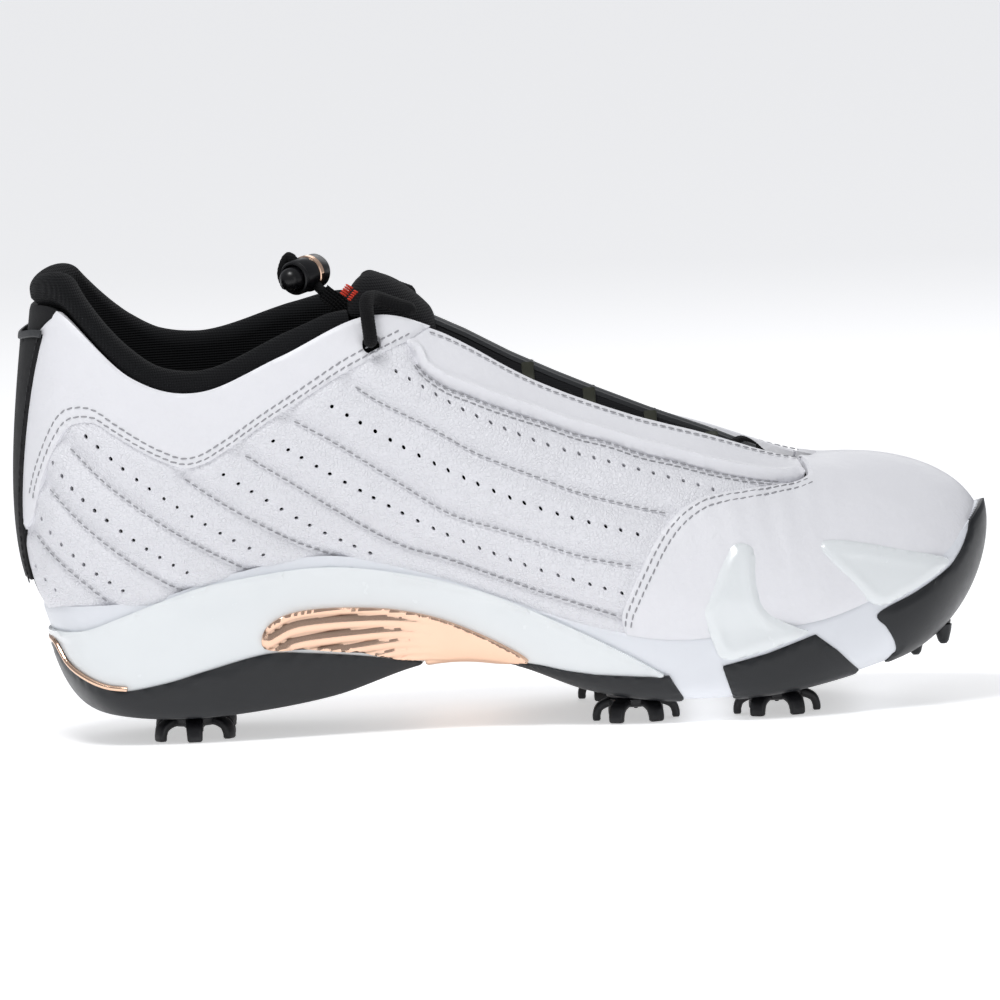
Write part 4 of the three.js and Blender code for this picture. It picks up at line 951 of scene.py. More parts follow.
def make_bootie():
    """The inner sleeve, whose upper part is the collar's lining."""
    around, high = 200, 40
    turns, ups = np.linspace(0, 1, around, endpoint=False), np.linspace(0, 1, high)
    grid_turn, grid_up = np.meshgrid(turns, ups, indexing="ij")
    normal = upper.normal(grid_turn.ravel(), grid_up.ravel())
    spot = upper.point(grid_turn.ravel(), grid_up.ravel())
    shells = []
    for offset, turned in ((-3.4, False), (-5.0, True)):
        faces = []
        for i in range(around):
            a, b = i * high, (i + 1) % around * high
            for k in range(high - 1):
                face = (a + k, b + k, b + k + 1, a + k + 1)
                faces.append(face[::-1] if turned else face)
        shells.append((spot + normal * offset, faces))
    vertices, faces = joined(shells)
    size = around * high
    for i in range(around):
        a, b = i * high, (i + 1) % around * high
        for k in (0, high - 1):
            faces.append((a + k, b + k, size + b + k, size + a + k))
    piece = new_object("inner_bootie", vertices, faces, LINING)
    riding(piece, "shoe", "bootie_rear", "bootie_waist", "bootie_front")


FOOTBED = [(-160, 34), (-110, 31), (-60, 33), (-10, 27), (40, 19.5), (80, 20), (115, 25.5), (160, 37)]


def footbed_plate(name, inset, low, thickness, material, cup):
    """A plate inside the upper's foot: inset from it, low above the footbed line, its rim raised by cup."""
    turns = np.linspace(0.004, 0.496, 110)
    rims = []
    for turn in (turns, 1 - turns):
        out = upper.normal(turn, 0 * turn) * (1, 1, 0)
        out /= np.linalg.norm(out, axis=1, keepdims=True)
        rims.append(upper.point(turn, 0 * turn) + out * (inset - 5))

    def point_at(u, v):
        k = int(round(u * (len(turns) - 1)))
        spot = rims[0][k] * (1 - v) + rims[1][k] * v
        spot[2] = np.interp(spot[0], *zip(*FOOTBED)) + low + thickness + cup * (2 * v - 1) ** 6
        return spot

    vertices, faces = grid_surface(point_at, len(turns), 36, thickness)
    return riding(new_object(name, vertices, faces, material, sharp=60), "shoe", name)


def make_inner_pieces():
    footbed_plate("insole_board", -1.5, 0.3, 3, BOARD, 0)
    footbed_plate("sockliner", -8, 6.6, 2.6, SOCKLINER, 0.8)
    heel = [(-0.13, 0.04), (0.13, 0.04), (0.115, 0.4), (0.06, 0.58), (-0.06, 0.58), (-0.115, 0.4)]
    toe = [(0.41, 0.04), (0.59, 0.04), (0.58, 0.45), (0.53, 0.62), (0.47, 0.62), (0.42, 0.45)]
    for name, corners in (("heel_counter", heel), ("toe_puff", toe)):
        loop = loop_of(upper, [np.array([corner]) for corner in corners], 3)
        panel(name, upper, [loop], constant(-1.9), 1.3, STIFFENER, spacing=3, edge=0.4)


# How far the padded collar stands above the leather's top edge, by the turn away from the heel.
COLLAR_CREST = [(0, 9.6), (0.045, 10.6), (0.075, 9.2), (0.1, 7.4), (0.125, 6.5), (0.17, 6.3), (0.19, 5.0),
                (0.2, 3.4)]


def collar_profile(rise):
    """A cut through the roll, as (out, up) from the leather's top edge."""
    profile = []
    for angle in np.linspace(-0.35, math.pi + 0.1, 22):
        high = rise - 4.6 + (4.6 * math.sin(angle) if angle > 0 else angle * 8)
        profile.append((-4.9 + 5.0 * math.cos(angle), high))
    inner = [(-9.6, 9), (-9.3, 15), (-8.0, 24), (-5.6, 27), (-4.6, 12)]
    return np.array(profile + [(out, rise - drop) for out, drop in inner])


def make_collar():
    """The padded roll round the ankle: up from the leather's edge, over, and down into the shoe."""
    turns = np.linspace(-0.2, 0.2, 260)
    edge, out = upper.point(turns, np.ones(260)), upper.normal(turns, np.ones(260))
    out[:, 2] = 0
    out /= np.linalg.norm(out, axis=1, keepdims=True)
    crest = np.interp(np.minimum(turns % 1, 1 - turns % 1), *zip(*COLLAR_CREST))
    sections = []
    for place, way, rise in zip(edge, out, crest):
        profile = collar_profile(rise)
        sections.append(place + np.outer(profile[:, 0], way) + np.outer(profile[:, 1], (0, 0, 1)))
    centres = [section.mean(axis=0) for section in sections]
    vertices, faces = swept(centres, sections)
    riding(new_object("collar_roll", vertices, faces, KNIT, sharp=60), "shoe", "collar_roll")


def make_upper():
    rows = []
    for side in SIDES:
        make_quarter(side)
        rows += make_collar_panel(side) + make_eyestay(side)
        rows += [seam_row(upper, line[2:-2], 0.0) for line in SEAMS[side]["channels"]]
    rows += make_vamp()
    stitches("upper_stitching", rows, THREAD)
    make_heel()
    make_bootie()
    make_inner_pieces()
    make_collar()


# ------------------------------------------------------------------ the sole

RIDGE = [(-144, 35.4), (-141, 35.6), (-131, 36.8), (-121, 40.3), (-105, 46), (-91, 49.8), (-66, 52.9),
         (-48, 52.7), (-26, 48.8), (-12, 44.9), (1, 40), (14, 34), (27, 27.6), (40, 20.5), (48, 15.5)]
HEEL_POD = [(-143, 31.5), (-141, 31.5), (-137, 24.8), (-131, 20.6), (-125, 18.2), (-119, 17.4), (-106, 19.8),
            (-93.5, 23.1), (-75, 27.2), (-60, 26.4), (-45, 24.6), (-34, 22.6), (-27, 21.4)]
SHANK_TOP = [(-62, 27.8), (-74.5, 28.4), (-76.6, 31.5), (-74.1, 36.2), (-66.7, 39.6), (-54.9, 40.5),
             (-40.5, 39.7), (-30.7, 38.1), (-21, 35.4), (-12.2, 31.7), (-4.2, 27.7), (3.5, 23.2), (6.5, 20.6)]
SHANK_LOW = [(-26, 22.4), (-36, 23.4), (-45, 25.6), (-62, 27.8)]
REAR_POD = [(-2, 20.9), (10, 19.2), (17.7, 17.4), (26.7, 16), (47.3, 14.7), (49.6, 15.3), (53.9, 7.9)]
MID_POD = [(69.2, 8), (66.4, 17.6), (80.5, 20.8), (95.8, 25.8), (102.4, 20.3), (108.9, 13)]
TOE_POD = [(119.6, 16.8), (120.9, 18), (120.3, 21.7), (118.2, 26), (115.6, 30.5), (127, 35.8), (133.2, 39.1),
           (138.8, 42.7), (141.3, 45.3), (143.9, 49.4), (146.1, 55.3), (147, 60.8), (147.8, 61.8)]
REAR_CLAW = [(73.9, 55.7), (70.8, 54.3), (66.9, 47.9), (63.5, 39.6), (60.8, 34.9), (63.4, 26.3), (66.2, 18.6),
             (80.5, 21.8), (95.2, 26.6), (90.5, 28.2), (84.6, 31.3), (80.1, 35.7), (78.6, 42.5), (78.9, 48.5),
             (78, 54)]
FRONT_CLAW = [(97.1, 51.1), (99.1, 54.3), (103.9, 54.4), (112.8, 52.7), (121.7, 50.4), (138.9, 45.9),
              (138.8, 43.8), (133.2, 40.2), (127, 36.9), (115.6, 31.7), (107, 41)]
POD_RISE = 0.9
POD_DEPTH = 2.2
RIB_PITCH = 3.6


def sole_line(side, points):
    return even_turn(side, on_side(side, points, sole))


def cornered_line(side, points):
    """Like sole_line, with the outline's corners kept."""
    return even_turn(side, sole.find(side, resampled(points, 1.0)))


def half_loop(line, feet):
    """An outline on the sole: a line on the wall, closed down its ends to the underside's centre line.
    feet are the turns of the two corners on the centre line."""
    return loop_of(sole, [line, np.array([(feet[1], -1.0)]), np.array([(feet[0], -1.0)])])


FOOT_HEIGHT = sorted((rib[0][0], rib[0][2]) for rib in SOLE_RIBS[1:12])


def foot_turn(side, x):
    """The turn at which the sole's foot is at x on one side."""
    return even_turn(side, sole.find(side, [(x, np.interp(x, *zip(*FOOT_HEIGHT)))]))[0][0]


def sole_base():
    """The foam above the ridge and the carrier under it, which the pods and the shank stand out from."""
    ridges = {side: sole_line(side, RIDGE) for side in SIDES}
    whole_ridge = np.vstack([ridges[MEDIAL][::-1], ridges[LATERAL]])
    feet = {side: foot_turn(side, 47) for side in SIDES}
    loop = loop_of(sole, [level(0.5, -0.5, 1.0), np.array([(-0.5, -1.0)]), level(-0.5, feet[LATERAL], -1.0),
                          ridges[LATERAL][::-1], ridges[MEDIAL], level(feet[MEDIAL], 0.5, -1.0)])

    def foam_height(turn, up, spot):
        away = flat_distance(sole, [whole_ridge], turn, up)
        return 0.6 * (1 - np.exp(-(away / 5) ** 2)) - 0.6

    panel("midsole", sole, [loop], foam_height, 3.0, WHITE_FOAM, spacing=2.0, edge=0.5)
    loop = loop_of(sole, [whole_ridge, level(feet[LATERAL], feet[MEDIAL], -1.0)])

    def carrier_height(turn, up, spot):
        away = flat_distance(sole, [whole_ridge], turn, up)
        return 1.2 * np.exp(-(away / 2.2) ** 2) - 0.25

    panel("sidewall_carrier", sole, [loop], carrier_height, 3.0, WHITE_PLASTIC, spacing=1.8, edge=0.7)


def pod_rise(lines):
    """A pod's height, with a fine groove along its outline's upper edge."""
    def height(turn, up, spot):
        away = flat_distance(sole, lines, turn, up)
        return POD_RISE - 0.35 * np.exp(-((away - 1.7) / 0.5) ** 2)
    return height


def two_sided(name, build, material, **details):
    """A piece of the sole made of two halves. build(side) gives a half's outline and height."""
    halves = []
    for side in SIDES:
        loop, height = build(side)
        halves.append(panel_mesh(sole, [loop], height, POD_DEPTH, **details))
    vertices, faces = joined(halves)
    return riding(new_object(name, vertices, faces, material), "shoe", name), halves


def pod_half(points, low_x, high_x):
    def build(side):
        line = cornered_line(side, points)
        feet = (foot_turn(side, low_x), foot_turn(side, high_x))
        return half_loop(line, feet), pod_rise([line])
    return build


def shank_half(side):
    top, low = sole_line(side, SHANK_TOP), sole_line(side, SHANK_LOW)
    feet = foot_turn(side, -23.5), foot_turn(side, -3.5)
    corners = [np.array([corner]) for corner in ((feet[1], 0.0), (feet[1], -1.0), (feet[0], -1.0))]

    def height(turn, up, spot):
        return 0.45 + shank_wave(side, turn, up)
    return loop_of(sole, [top, *corners, low[:-1]]), height


def shank_wave(side, turn, up):
    """The shank's ribs, 0 in the grooves and 1 on the crests. They follow its upper edge and fade forwards."""
    edge = sole_line(side, SHANK_TOP[3:])
    away = flat_distance(sole, [edge], turn, up)
    fade = np.interp(sole.point(turn, up)[:, 0], [-48, -18], [1, 0]) * (up > 0)
    return 1 - fade * (1 - np.abs(np.cos(np.pi * away / RIB_PITCH)))


def shade_shank(piece, halves):
    """Marks the depth of the grooves on the mesh, so that painted shade can darken the metal there."""
    depth = []
    for side, (vertices, _) in zip(SIDES, halves):
        places = even_turn(side, sole.find(side, vertices[:, [0, 2]]))
        depth.append(1 - shank_wave(side, places[:, 0], places[:, 1]))
    shade_mark = piece.data.attributes.new("groove", "FLOAT", "POINT")
    shade_mark.data.foreach_set("value", np.concatenate(depth))


def make_lugs():
    """Small fixed lugs under the toe."""
    profile = [(0.01, -4.6), (1.0, -4.5), (1.7, -3.6), (2.6, -0.4), (2.9, 1.5)]
    parts = []
    for x, y in ((127.5, -17), (127.5, 8), (121.5, -5), (136.5, -9), (136.5, 2)):
        foot = np.interp(abs(y + 5), [0, 30], [0, 0.8]) + np.interp(x, [121, 127.5, 133], [15.6, 17.4, 19.8])
        parts.append(placed(lathe(profile, 24), Matrix.Translation((x, y, foot + 0.8))))
    vertices, faces = joined(parts)
    riding(new_object("toe_lugs", vertices, faces, RUBBER, sharp=50), "shoe")


def make_heel_strip():
    """A thin bright strip between the carrier and the heel's pod, round the back."""
    ends = [sole_line(side, HEEL_POD[:6]) for side in SIDES]
    line = shifted(sole, np.vstack([ends[1][::-1], ends[0]]), 0.9)
    places, normals = seam_row(sole, even(line, 0.0015), 0.2)
    vertices, faces = ribbon(places, normals, 1.4, 0.9)
    riding(new_object("heel_strip", vertices, faces, COPPER, sharp=60), "shoe")


def make_pods():
    """The rubber pods and the ribbed shank between the heel's and the rear forefoot's."""
    details = {"spacing": 1.6, "edge": 0.55}
    medial, lateral = sole_line(MEDIAL, HEEL_POD), sole_line(LATERAL, HEEL_POD)
    top = np.vstack([lateral[::-1], medial])
    loop = half_loop(top, (foot_turn(LATERAL, -25), foot_turn(MEDIAL, -25)))
    panel("heel_outsole", sole, [loop], pod_rise([top]), POD_DEPTH, RUBBER, **details)
    medial, lateral = on_side(MEDIAL, TOE_POD, sole), on_side(LATERAL, TOE_POD, sole)
    top = np.vstack([medial, lateral[::-1]])
    loop = half_loop(top, (foot_turn(MEDIAL, 119.4), 1 + foot_turn(LATERAL, 119.4)))
    panel("toe_outsole", sole, [loop], pod_rise([top]), POD_DEPTH, RUBBER, **details)
    two_sided("rear_forefoot_outsole", pod_half(REAR_POD, -2, 54), RUBBER, **details)
    two_sided("mid_forefoot_outsole", pod_half(MID_POD, 69.6, 109), RUBBER, **details)
    shade_shank(*two_sided("shank_plate", shank_half, RIBBED_COPPER, spacing=0.8, edge=0.5))


def wall_depth(side, points):
    """How far out the shoe's side is at side-view points, over the upper and the sole."""
    best = np.zeros(len(points))
    for wall in (upper, sole):
        places = wall.find(side, points)
        spot = wall.point(places[:, 0], places[:, 1])
        miss = np.linalg.norm(spot[:, [0, 2]] - points, axis=1)
        depth = np.where(miss < 3, np.abs(spot[:, 1]) - miss * 0.2, 0)
        best = np.maximum(best, depth)
    return best


def relaxed(values, faces, rounds):
    """The values at a mesh's points, evened out between neighbours."""
    edges = np.vstack([faces[:, [0, 1]], faces[:, [1, 2]], faces[:, [2, 0]]])
    edges = np.vstack([edges, edges[:, ::-1]])
    count = np.bincount(edges[:, 0], minlength=len(values))
    for _ in range(rounds):
        total = np.bincount(edges[:, 0], weights=values[edges[:, 1]], minlength=len(values))
        values = 0.5 * values + 0.5 * total / np.maximum(count, 1)
    return values


def make_claw(side, name, outline):
    """A moulded claw that laps up from the sole over the vamp, swollen in its middle and thin at its edge."""
    loop = resampled(smooth_corners(outline), 1.0, closed=True)
    points, faces = triangulated([loop], 1.3)
    depth = relaxed(wall_depth(side, points), faces, 14)
    away = nearest_distance([(*p, 0) for p in points], [(*p, 0) for p in loop])
    swell = 2.6 - 1.5 * np.clip(1 - away / 2.6, 0, 1) ** 1.5 + 0.35 * np.exp(-((away - 3.2) / 1.0) ** 2)
    way = side_way(side)
    top = np.stack([points[:, 0], way * (depth + swell), points[:, 1]], axis=1)
    low = top - np.array([0, way * 4.2, 0])
    faces = oriented(top, faces, np.tile((0.0, way, 0.0), (len(top), 1)))
    vertices, polygons = skirted(top, faces, low)
    claw = new_object(f"{side}_{name}", vertices, polygons, WHITE_PLASTIC, sharp=50)
    riding(claw, "shoe", f"{side}_{name}")


def smooth_corners(outline, cut=0.22):
    """A closed outline with its corners cut twice."""
    points = np.asarray(outline, float)
    for _ in range(2):
        after = np.roll(points, -1, axis=0)
        pairs = np.stack([points + (after - points) * cut, after + (points - after) * cut], axis=1)
        points = pairs.reshape(-1, 2)
    return points


# ------------------------------------------------------------------ spikes and sockets

SPIKES = [(-99, -20, 0), (-99, 13, 0), (39, -30, 30), (35, 32, 30), (83, -31, 30), (80, 28, 30)]
SPIKE_SEAT = 7.8


def lathe(profile, sides=40):
    """Vertices and faces of (radius, z) points turned round Z."""
    profile = np.asarray(profile, float)
    angles = np.linspace(0, 2 * np.pi, sides, endpoint=False)
    sections = [np.stack([profile[:, 0] * math.cos(a), profile[:, 0] * math.sin(a), profile[:, 1]], axis=1)
                for a in angles]
    count, faces = len(profile), []
    for s in range(sides):
        a, b = s * count, (s + 1) % sides * count
        faces += [(a + k, b + k, b + k + 1, a + k + 1) for k in range(count - 1)]
    return np.vstack(sections), faces


def placed(mesh, matrix):
    """(vertices, faces) moved by a matrix."""
    vertices, faces = mesh
    return np.array([tuple(matrix @ Vector(v)) for v in vertices]), faces


def spike_leg():
    """One leg, from the hub out along +X and down to its tip."""
    path = smooth_line([(4, -2.2), (8, -2.0), (11.2, -3.4), (12.3, -5.6), (12.4, -7.7)], 0.45)
    sections = []
    for k, (x, z) in enumerate(path):
        part = k / (len(path) - 1)
        along = path[min(k + 1, len(path) - 1)] - path[max(k - 1, 0)]
        along /= np.linalg.norm(along)
        half_width, half_depth = 3.1 - 0.75 * part, 1.5 - 0.25 * part
        end = 0.82 if k in (0, len(path) - 1) else 1.0
        ring = []
        for a in np.linspace(0, 2 * np.pi, 20, endpoint=False):
            across = half_width * end * math.copysign(abs(math.cos(a)) ** 0.5, math.cos(a))
            deep = half_depth * end * math.copysign(abs(math.sin(a)) ** 0.5, math.sin(a))
            ring.append((x - along[1] * deep, across, z + along[0] * deep))
        sections.append(np.array(ring))
    centres = [(x, 0, z) for x, z in path]
    return swept(centres, sections)


def make_spikes():
    """Each soft spike is a hub with a ring of studs and six legs, screwed into a socket of the sole."""
    hub = lathe([(0.01, -3.0), (2.2, -3.0), (2.6, -2.7), (3.0, -3.3), (7.2, -3.4), (8.1, -3.0), (8.6, -2.2),
                 (8.5, -0.9), (5.2, -0.8), (5.2, 4.6), (0.01, 4.7)])
    ridges = [placed(lathe([(0.01, -3.9), (0.5, -3.9), (0.75, -3.6), (0.75, -3.0)], 12),
                     Matrix.Translation((5.2 * math.cos(a), 5.2 * math.sin(a), 0)))
              for a in np.linspace(0, 2 * np.pi, 6, endpoint=False)]
    leg = spike_leg()
    legs = [placed(leg, Matrix.Rotation((k + 0.5) * math.pi / 3, 4, "Z")) for k in range(6)]
    socket = lathe([(5.6, 4.9), (5.6, 0.1), (6.2, -0.35), (8.5, -0.45), (9.0, -0.1), (9.0, 6.9), (5.6, 7.2)])
    for index, (x, y, turn) in enumerate(SPIKES, 1):
        place = Matrix.Translation((x, y, SPIKE_SEAT)) @ Matrix.Rotation(math.radians(turn), 4, "Z")
        vertices, faces = placed(joined([hub] + ridges + legs), place)
        name = f"spike_{index}"
        riding(new_object(name, vertices, faces, SPIKE_PLASTIC, sharp=50), name, name)
        name = f"spike_socket_{index}"
        riding(new_object(name, *placed(socket, place), SOCKET_PLASTIC), "shoe", name)


def make_sole():
    sole_base()
    make_pods()
    make_lugs()
    make_heel_strip()
    for side in SIDES:
        make_claw(side, "rear_claw", REAR_CLAW)
        make_claw(side, "front_claw", FRONT_CLAW)
    make_spikes()


# ------------------------------------------------------------------ tongue, laces and lock

TONGUE_CREST = [(-20, 115.3), (0, 105.3), (20, 95.3), (45, 84), (70, 76.5), (92, 71.5)]
SPINE_CREST = [(-21, 128), (-17, 126.5), (-8, 122), (5.5, 114.3), (19, 107.6), (32, 101.6), (48, 94.6),
               (66, 87.4), (84, 79.4)]
RIDGE_HALF = 5.5            # the tongue's raised middle, which the spine lies on


def crest_height(x):
    return np.interp(x, *zip(*TONGUE_CREST))


def spine_height(x):
    return np.interp(x, *zip(*SPINE_CREST))


def tongue_height(x, y):
    return crest_height(x) - 10 * (y / 20) ** 2


def grid_surface(point_at, columns, rows, thickness):
    """A closed plate: point_at(u, v) is its top, and its foot is thickness lower."""
    us, vs = np.linspace(0, 1, columns), np.linspace(0, 1, rows)
    top = np.array([point_at(u, v) for u in us for v in vs], float)
    low = top - (0, 0, thickness)
    faces = []
    for i in range(columns - 1):
        for k in range(rows - 1):
            a = i * rows + k
            faces.append((a, a + rows, a + rows + 1, a + 1))
    size = len(top)
    faces += [tuple(index + size for index in face[::-1]) for face in faces]
    edges = border_edges([face for face in faces if max(face) < size])
    faces += [(b, a, a + size, b + size) for a, b in edges]
    return np.vstack([top, low]), faces


def make_tongue():
    """The ribbed tongue, raised as a ridge in its middle, and the smooth strip along the ridge."""
    def cloth(u, v):
        x = -19 + 109 * u
        y = (24 - 8 * u) * (2 * v - 1)
        edge = 1.5 * max(0, abs(2 * v - 1) - 0.93) / 0.07
        ridge = spine_height(x) - 1.9 - crest_height(x)
        ridge *= np.interp(abs(y), [RIDGE_HALF - 1.5, RIDGE_HALF + 2.5], [1, 0])
        ridge *= np.interp(x, [80, 90], [1, 0])
        return x, y, tongue_height(x, y) + max(0, ridge) + 0.35 * math.cos(2 * math.pi * y / 2.6) - edge

    vertices, faces = grid_surface(cloth, 90, 150, 3.4)
    riding(new_object("tongue", vertices, faces, TONGUE_CLOTH, sharp=60), "shoe", "tongue")

    def strip(u, v):
        x = -21 + 102 * u
        y = 4.2 * (2 * v - 1) * (1 - 0.3 * u)
        return x, y, spine_height(x) - 0.9 * abs(2 * v - 1) ** 3 + 0.12 * math.cos(8 * math.pi * v)

    vertices, faces = grid_surface(strip, 80, 30, 1.4)
    riding(new_object("tongue_spine", vertices, faces, TRIM, sharp=60), "shoe", "tongue_spine")
    make_tongue_top()


def make_tongue_top():
    """The padded end of the tongue, a thick roll that thins towards the laces."""
    path = smooth_line([(-44.2, 0, 134.8), (-38, 0, 135.5), (-31, 0, 133.4), (-24, 0, 128.6),
                        (-17.5, 0, 122.4)], 0.7)
    sections = []
    for k, centre in enumerate(path):
        part = k / (len(path) - 1)
        near, far = max(0, 0.2 - part) / 0.2, max(0, part - 0.85) / 0.15
        ends = math.sqrt(max(0.03, 1 - near ** 2)) * math.sqrt(max(0.1, 1 - far ** 2))
        deep, wide = (6.3 - 1.8 * part) * ends, (18 - 2.5 * part) * (0.8 + 0.2 * ends)
        ring = []
        for a in np.linspace(0, 2 * np.pi, 44, endpoint=False):
            y = wide * math.copysign(abs(math.cos(a)) ** 0.75, math.cos(a))
            sag = (6.0 if y < 0 else 1.8) * (y / 18) ** 2
            ring.append((centre[0] + 0.3 * deep * math.sin(a), y, centre[2] + deep * math.sin(a) - sag))
        sections.append(np.array(ring))
    vertices, faces = swept(path, sections)
    riding(new_object("tongue_top_pad", vertices, faces, KNIT, sharp=70), "shoe", "tongue_top_pad")


LACE_RADIUS = 1.55
LACE_START, LACE_END, LACE_PASSES = -8, 86, 5


def declare_cord(path):
    """Works out how long a cord's piece is from the path that it follows, and keeps nothing of it."""
    length = np.linalg.norm(np.diff(path, axis=0), axis=1).sum() * MM


def lace_half(x):
    return 12.5 - 5.5 * ((x - LACE_START) / (LACE_END - LACE_START)) ** 2


def strand_path(sign, lift):
    points = []
    for step in range(LACE_PASSES * 6 + 1):
        x = LACE_START + (LACE_END - LACE_START) * step / (LACE_PASSES * 6)
        sway = math.cos(step / 6 * math.pi)
        y = sign * lace_half(x) * sway
        points.append((x, y, tongue_height(x, y) + LACE_RADIUS + 2.1 + lift * (1 - sway * sway)))
    return smooth_line(points, 0.5)


def loop_strap(x, way):
    """The webbing from the spine's edge down the ridge to a loop."""
    top = spine_height(x) - 1.2
    low = tongue_height(x, lace_half(x)) + LACE_RADIUS + 3.6
    path = smooth_line([(x, way * 3.4, top), (x, way * (RIDGE_HALF + 0.3), 0.45 * top + 0.55 * low),
                        (x, way * (lace_half(x) - 1.5), low)], 0.6)
    return ribbon(path, np.tile((0.0, way * 0.75, 0.66), (len(path), 1)), 4.2, 0.8)


def make_laces():
    for name, sign, lift in (("lace_lower_strand", 1, 0), ("lace_upper_strand", -1, 3.7)):
        path = strand_path(sign, lift)
        vertices, faces = braided_cord(path, LACE_RADIUS)
        strand = riding(new_object(name, vertices, faces, LACE, sharp=70), "shoe", name)
        declare_cord(path)
    for number in range(1, LACE_PASSES):
        x = LACE_START + (LACE_END - LACE_START) * number / LACE_PASSES
        slope = math.atan2(crest_height(x - 5) - crest_height(x + 5), 10)
        for side in SIDES:
            way = side_way(side)
            y = way * lace_half(x)
            centre = Vector((x, y, tongue_height(x, y) + LACE_RADIUS + 2.1))
            angles = np.linspace(0, 2 * np.pi, 40)
            ring = np.array([(0, 2.85 * math.cos(a), 2.85 * math.sin(a)) for a in angles])
            normals = np.array([(0, math.cos(a), math.sin(a)) for a in angles])
            vertices, faces = ribbon(ring, normals, 4.2, 0.7)
            ring = placed((vertices, faces), Matrix.Translation(centre) @ Matrix.Rotation(slope, 4, "Y"))
            vertices, faces = joined([ring, loop_strap(x, way)])
            name = f"{side}_lace_loop_{number}"
            riding(new_object(name, vertices, faces, WEBBING, sharp=60), "shoe", name)


LOCK_CENTRE = Vector((-57, -4, 142.2))
BUTTON_WAY = Vector((-0.55, -0.8, -0.1)).normalized()
TAIL_WAY = Vector((0.8, -0.05, -0.6))
TAIL_WAY = (TAIL_WAY - BUTTON_WAY * TAIL_WAY.dot(BUTTON_WAY)).normalized()
BARREL_HALF = 7.0


def lock_matrix():
    """The lock's own frame: +Z towards the button, +X along the cord towards the tongue."""
    turn = Matrix((TAIL_WAY, BUTTON_WAY.cross(TAIL_WAY), BUTTON_WAY)).transposed().to_4x4()
    return Matrix.Translation(LOCK_CENTRE) @ turn


SIDE_CORD_RADIUS = 2.2


def make_side_cords():
    """On each side a cord lies along the top line, goes over it and into the collar panel's slot."""
    medial = [(-23, -20.8, 130.4), (-30, -22.5, 133.2), (-36, -25.5, 135.8), (-38.3, -31, 135.2),
              (-38.2, -35.6, 130.2), (-37.8, -36, 125.5), (-37.5, -33.5, 121)]
    lateral = [(x, -y + 1.6, z + 1.2) for x, y, z in medial]
    for name, path in (("medial_side_cord", medial), ("lateral_side_cord", lateral)):
        path = smooth_line(path, 0.5)
        vertices, faces = braided_cord(path, SIDE_CORD_RADIUS, pitch=2.0, depth=0.05)
        cord = riding(new_object(name, vertices, faces, LACE, sharp=70), "shoe", name)
        declare_cord(path)


def make_lock():
    """The lock's barrel with its copper band, the ball-ended button and the spring inside."""
    place = lock_matrix()
    h = BARREL_HALF
    barrel = lathe([(0.01, -h), (3.6, -h), (4.9, -h + 0.5), (5.4, -h + 1.4), (5.4, h - 1.8), (5.2, h - 1.5),
                    (5.2, h - 1.1), (5.4, h - 0.8), (5.1, h - 0.2), (4.6, h), (4.2, h - 0.3), (4.2, -h + 1),
                    (0.01, -h + 1)], 56)
    piece = new_object("cord_lock_barrel", *placed(barrel, place), GLOSS, sharp=40)
    riding(piece, "cord_lock", "cord_lock_barrel")
    band = lathe([(5.35, -2.1), (5.75, -1.95), (5.75, -0.45), (5.35, -0.3)], 56)
    riding(new_object("cord_lock_band", *placed(band, place), COPPER, sharp=40), "cord_lock")
    button = lathe([(0.01, -1.7), (3.7, -1.7), (3.8, h + 0.4), (3.75, h + 1.4), (3.4, h + 2.6),
                    (2.7, h + 3.6), (1.6, h + 4.3), (0.7, h + 4.6), (0.01, h + 4.7)], 48)
    piece = new_object("cord_lock_button", *placed(button, place), GLOSS, sharp=50)
    riding(piece, "cord_lock_button", "cord_lock_button")
    coil = [(2.7 * math.cos(a), 2.7 * math.sin(a), -5.6 + 1.6 * a / (4 * math.pi))
            for a in np.linspace(0, 4 * math.pi, 90)]
    vertices, faces = placed(braided_cord(coil, 0.2, sides=8, depth=0), place)
    piece = new_object("cord_lock_spring", vertices, faces, STEEL, sharp=80)
    riding(piece, "cord_lock", "cord_lock_spring")


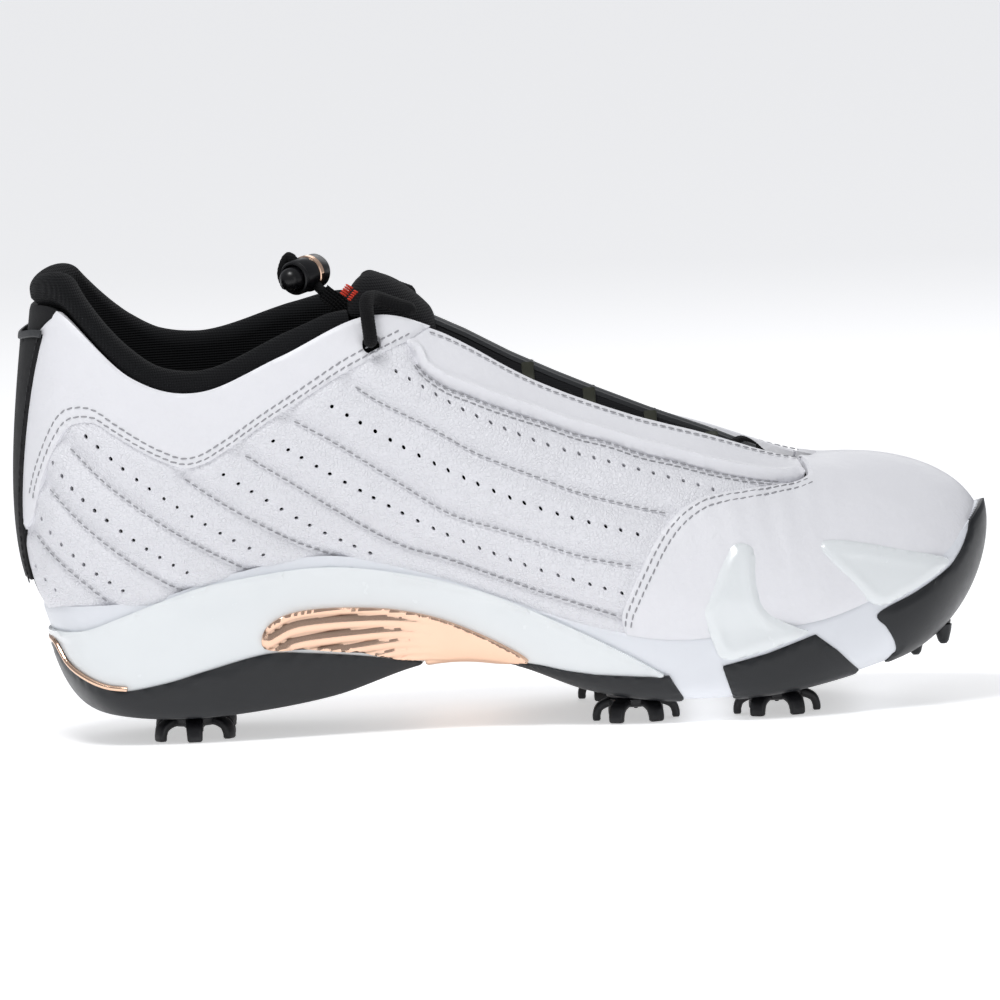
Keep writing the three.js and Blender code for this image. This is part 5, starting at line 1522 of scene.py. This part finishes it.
def make_lace_tail():
    """The lace's end, up from the tongue, through the lock and folded down behind it."""
    through = [tuple(LOCK_CENTRE + TAIL_WAY * distance) for distance in (8.5, 3, -3, -8)]
    path = smooth_line([(-49.5, -1, 128.5), (-46.5, -3.5, 133.5), *through, (-64.5, 0, 142.5), (-63, 2, 137)],
                       0.5)
    vertices, faces = braided_cord(path, LACE_RADIUS, up=(0, 1, 0))
    tail = riding(new_object("lace_tail", vertices, faces, LACE, sharp=70), "shoe", "lace_tail")
    declare_cord(path)


TAPE_WIDTH = 8.2


def make_tape():
    """The coarse woven tape that the cord comes up through, and the red bar-tack beside it."""
    end = np.array(LOCK_CENTRE + TAIL_WAY * 9.4)
    path = smooth_line([(-43.2, -4.5, 127.6), (-46.2, -5.6, 131.4), tuple(end)], 0.4)
    normals = np.tile(np.array((-0.35, -0.75, 0.55)), (len(path), 1))
    ribs = 5
    across = np.linspace(-0.5, 0.5, 6 * ribs + 1)
    top = 0.85 + 0.22 * np.abs(np.sin(across * ribs * np.pi))
    side = np.cross(normals, ways_along(path))
    sections = []
    for k, place in enumerate(path):
        weft = 1 + 0.10 * math.sin(k * 2.2)
        rim = [place + side[k] * a * TAPE_WIDTH + normals[k] * t * 2.2 * weft for a, t in zip(across, top)]
        back = [place + side[k] * a * TAPE_WIDTH - normals[k] * 1.5 for a in across[::-1]]
        sections.append(np.array(rim + back))
    vertices, faces = swept(path, sections)
    riding(new_object("lock_tape", vertices, faces, LACE, sharp=60), "shoe")
    rows = []
    for step in range(5):
        middle = np.array((-44.4 + 0.5 * step, -11.5, 134.9 + 0.6 * step))
        way = np.array((0.75, 0.0, -0.66))
        rows.append((np.array([middle - way * 1.5, middle + way * 1.5]), np.tile((-0.3, -0.9, 0.3), (2, 1))))
    stitches("tongue_bar_tack", rows, RED, length=2.6, pitch=2.9, radius=0.42)


make_camera()
make_lights()
make_floor()
make_upper()
make_sole()
make_tongue()
make_laces()
make_side_cords()
make_lock()
make_lace_tail()
make_tape()

size = {"frame": CAD_BOX, "visual": [list(corner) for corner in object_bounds()]}
{name: [[float(value) for value in corner] for corner in box] for name, box in size.items()}
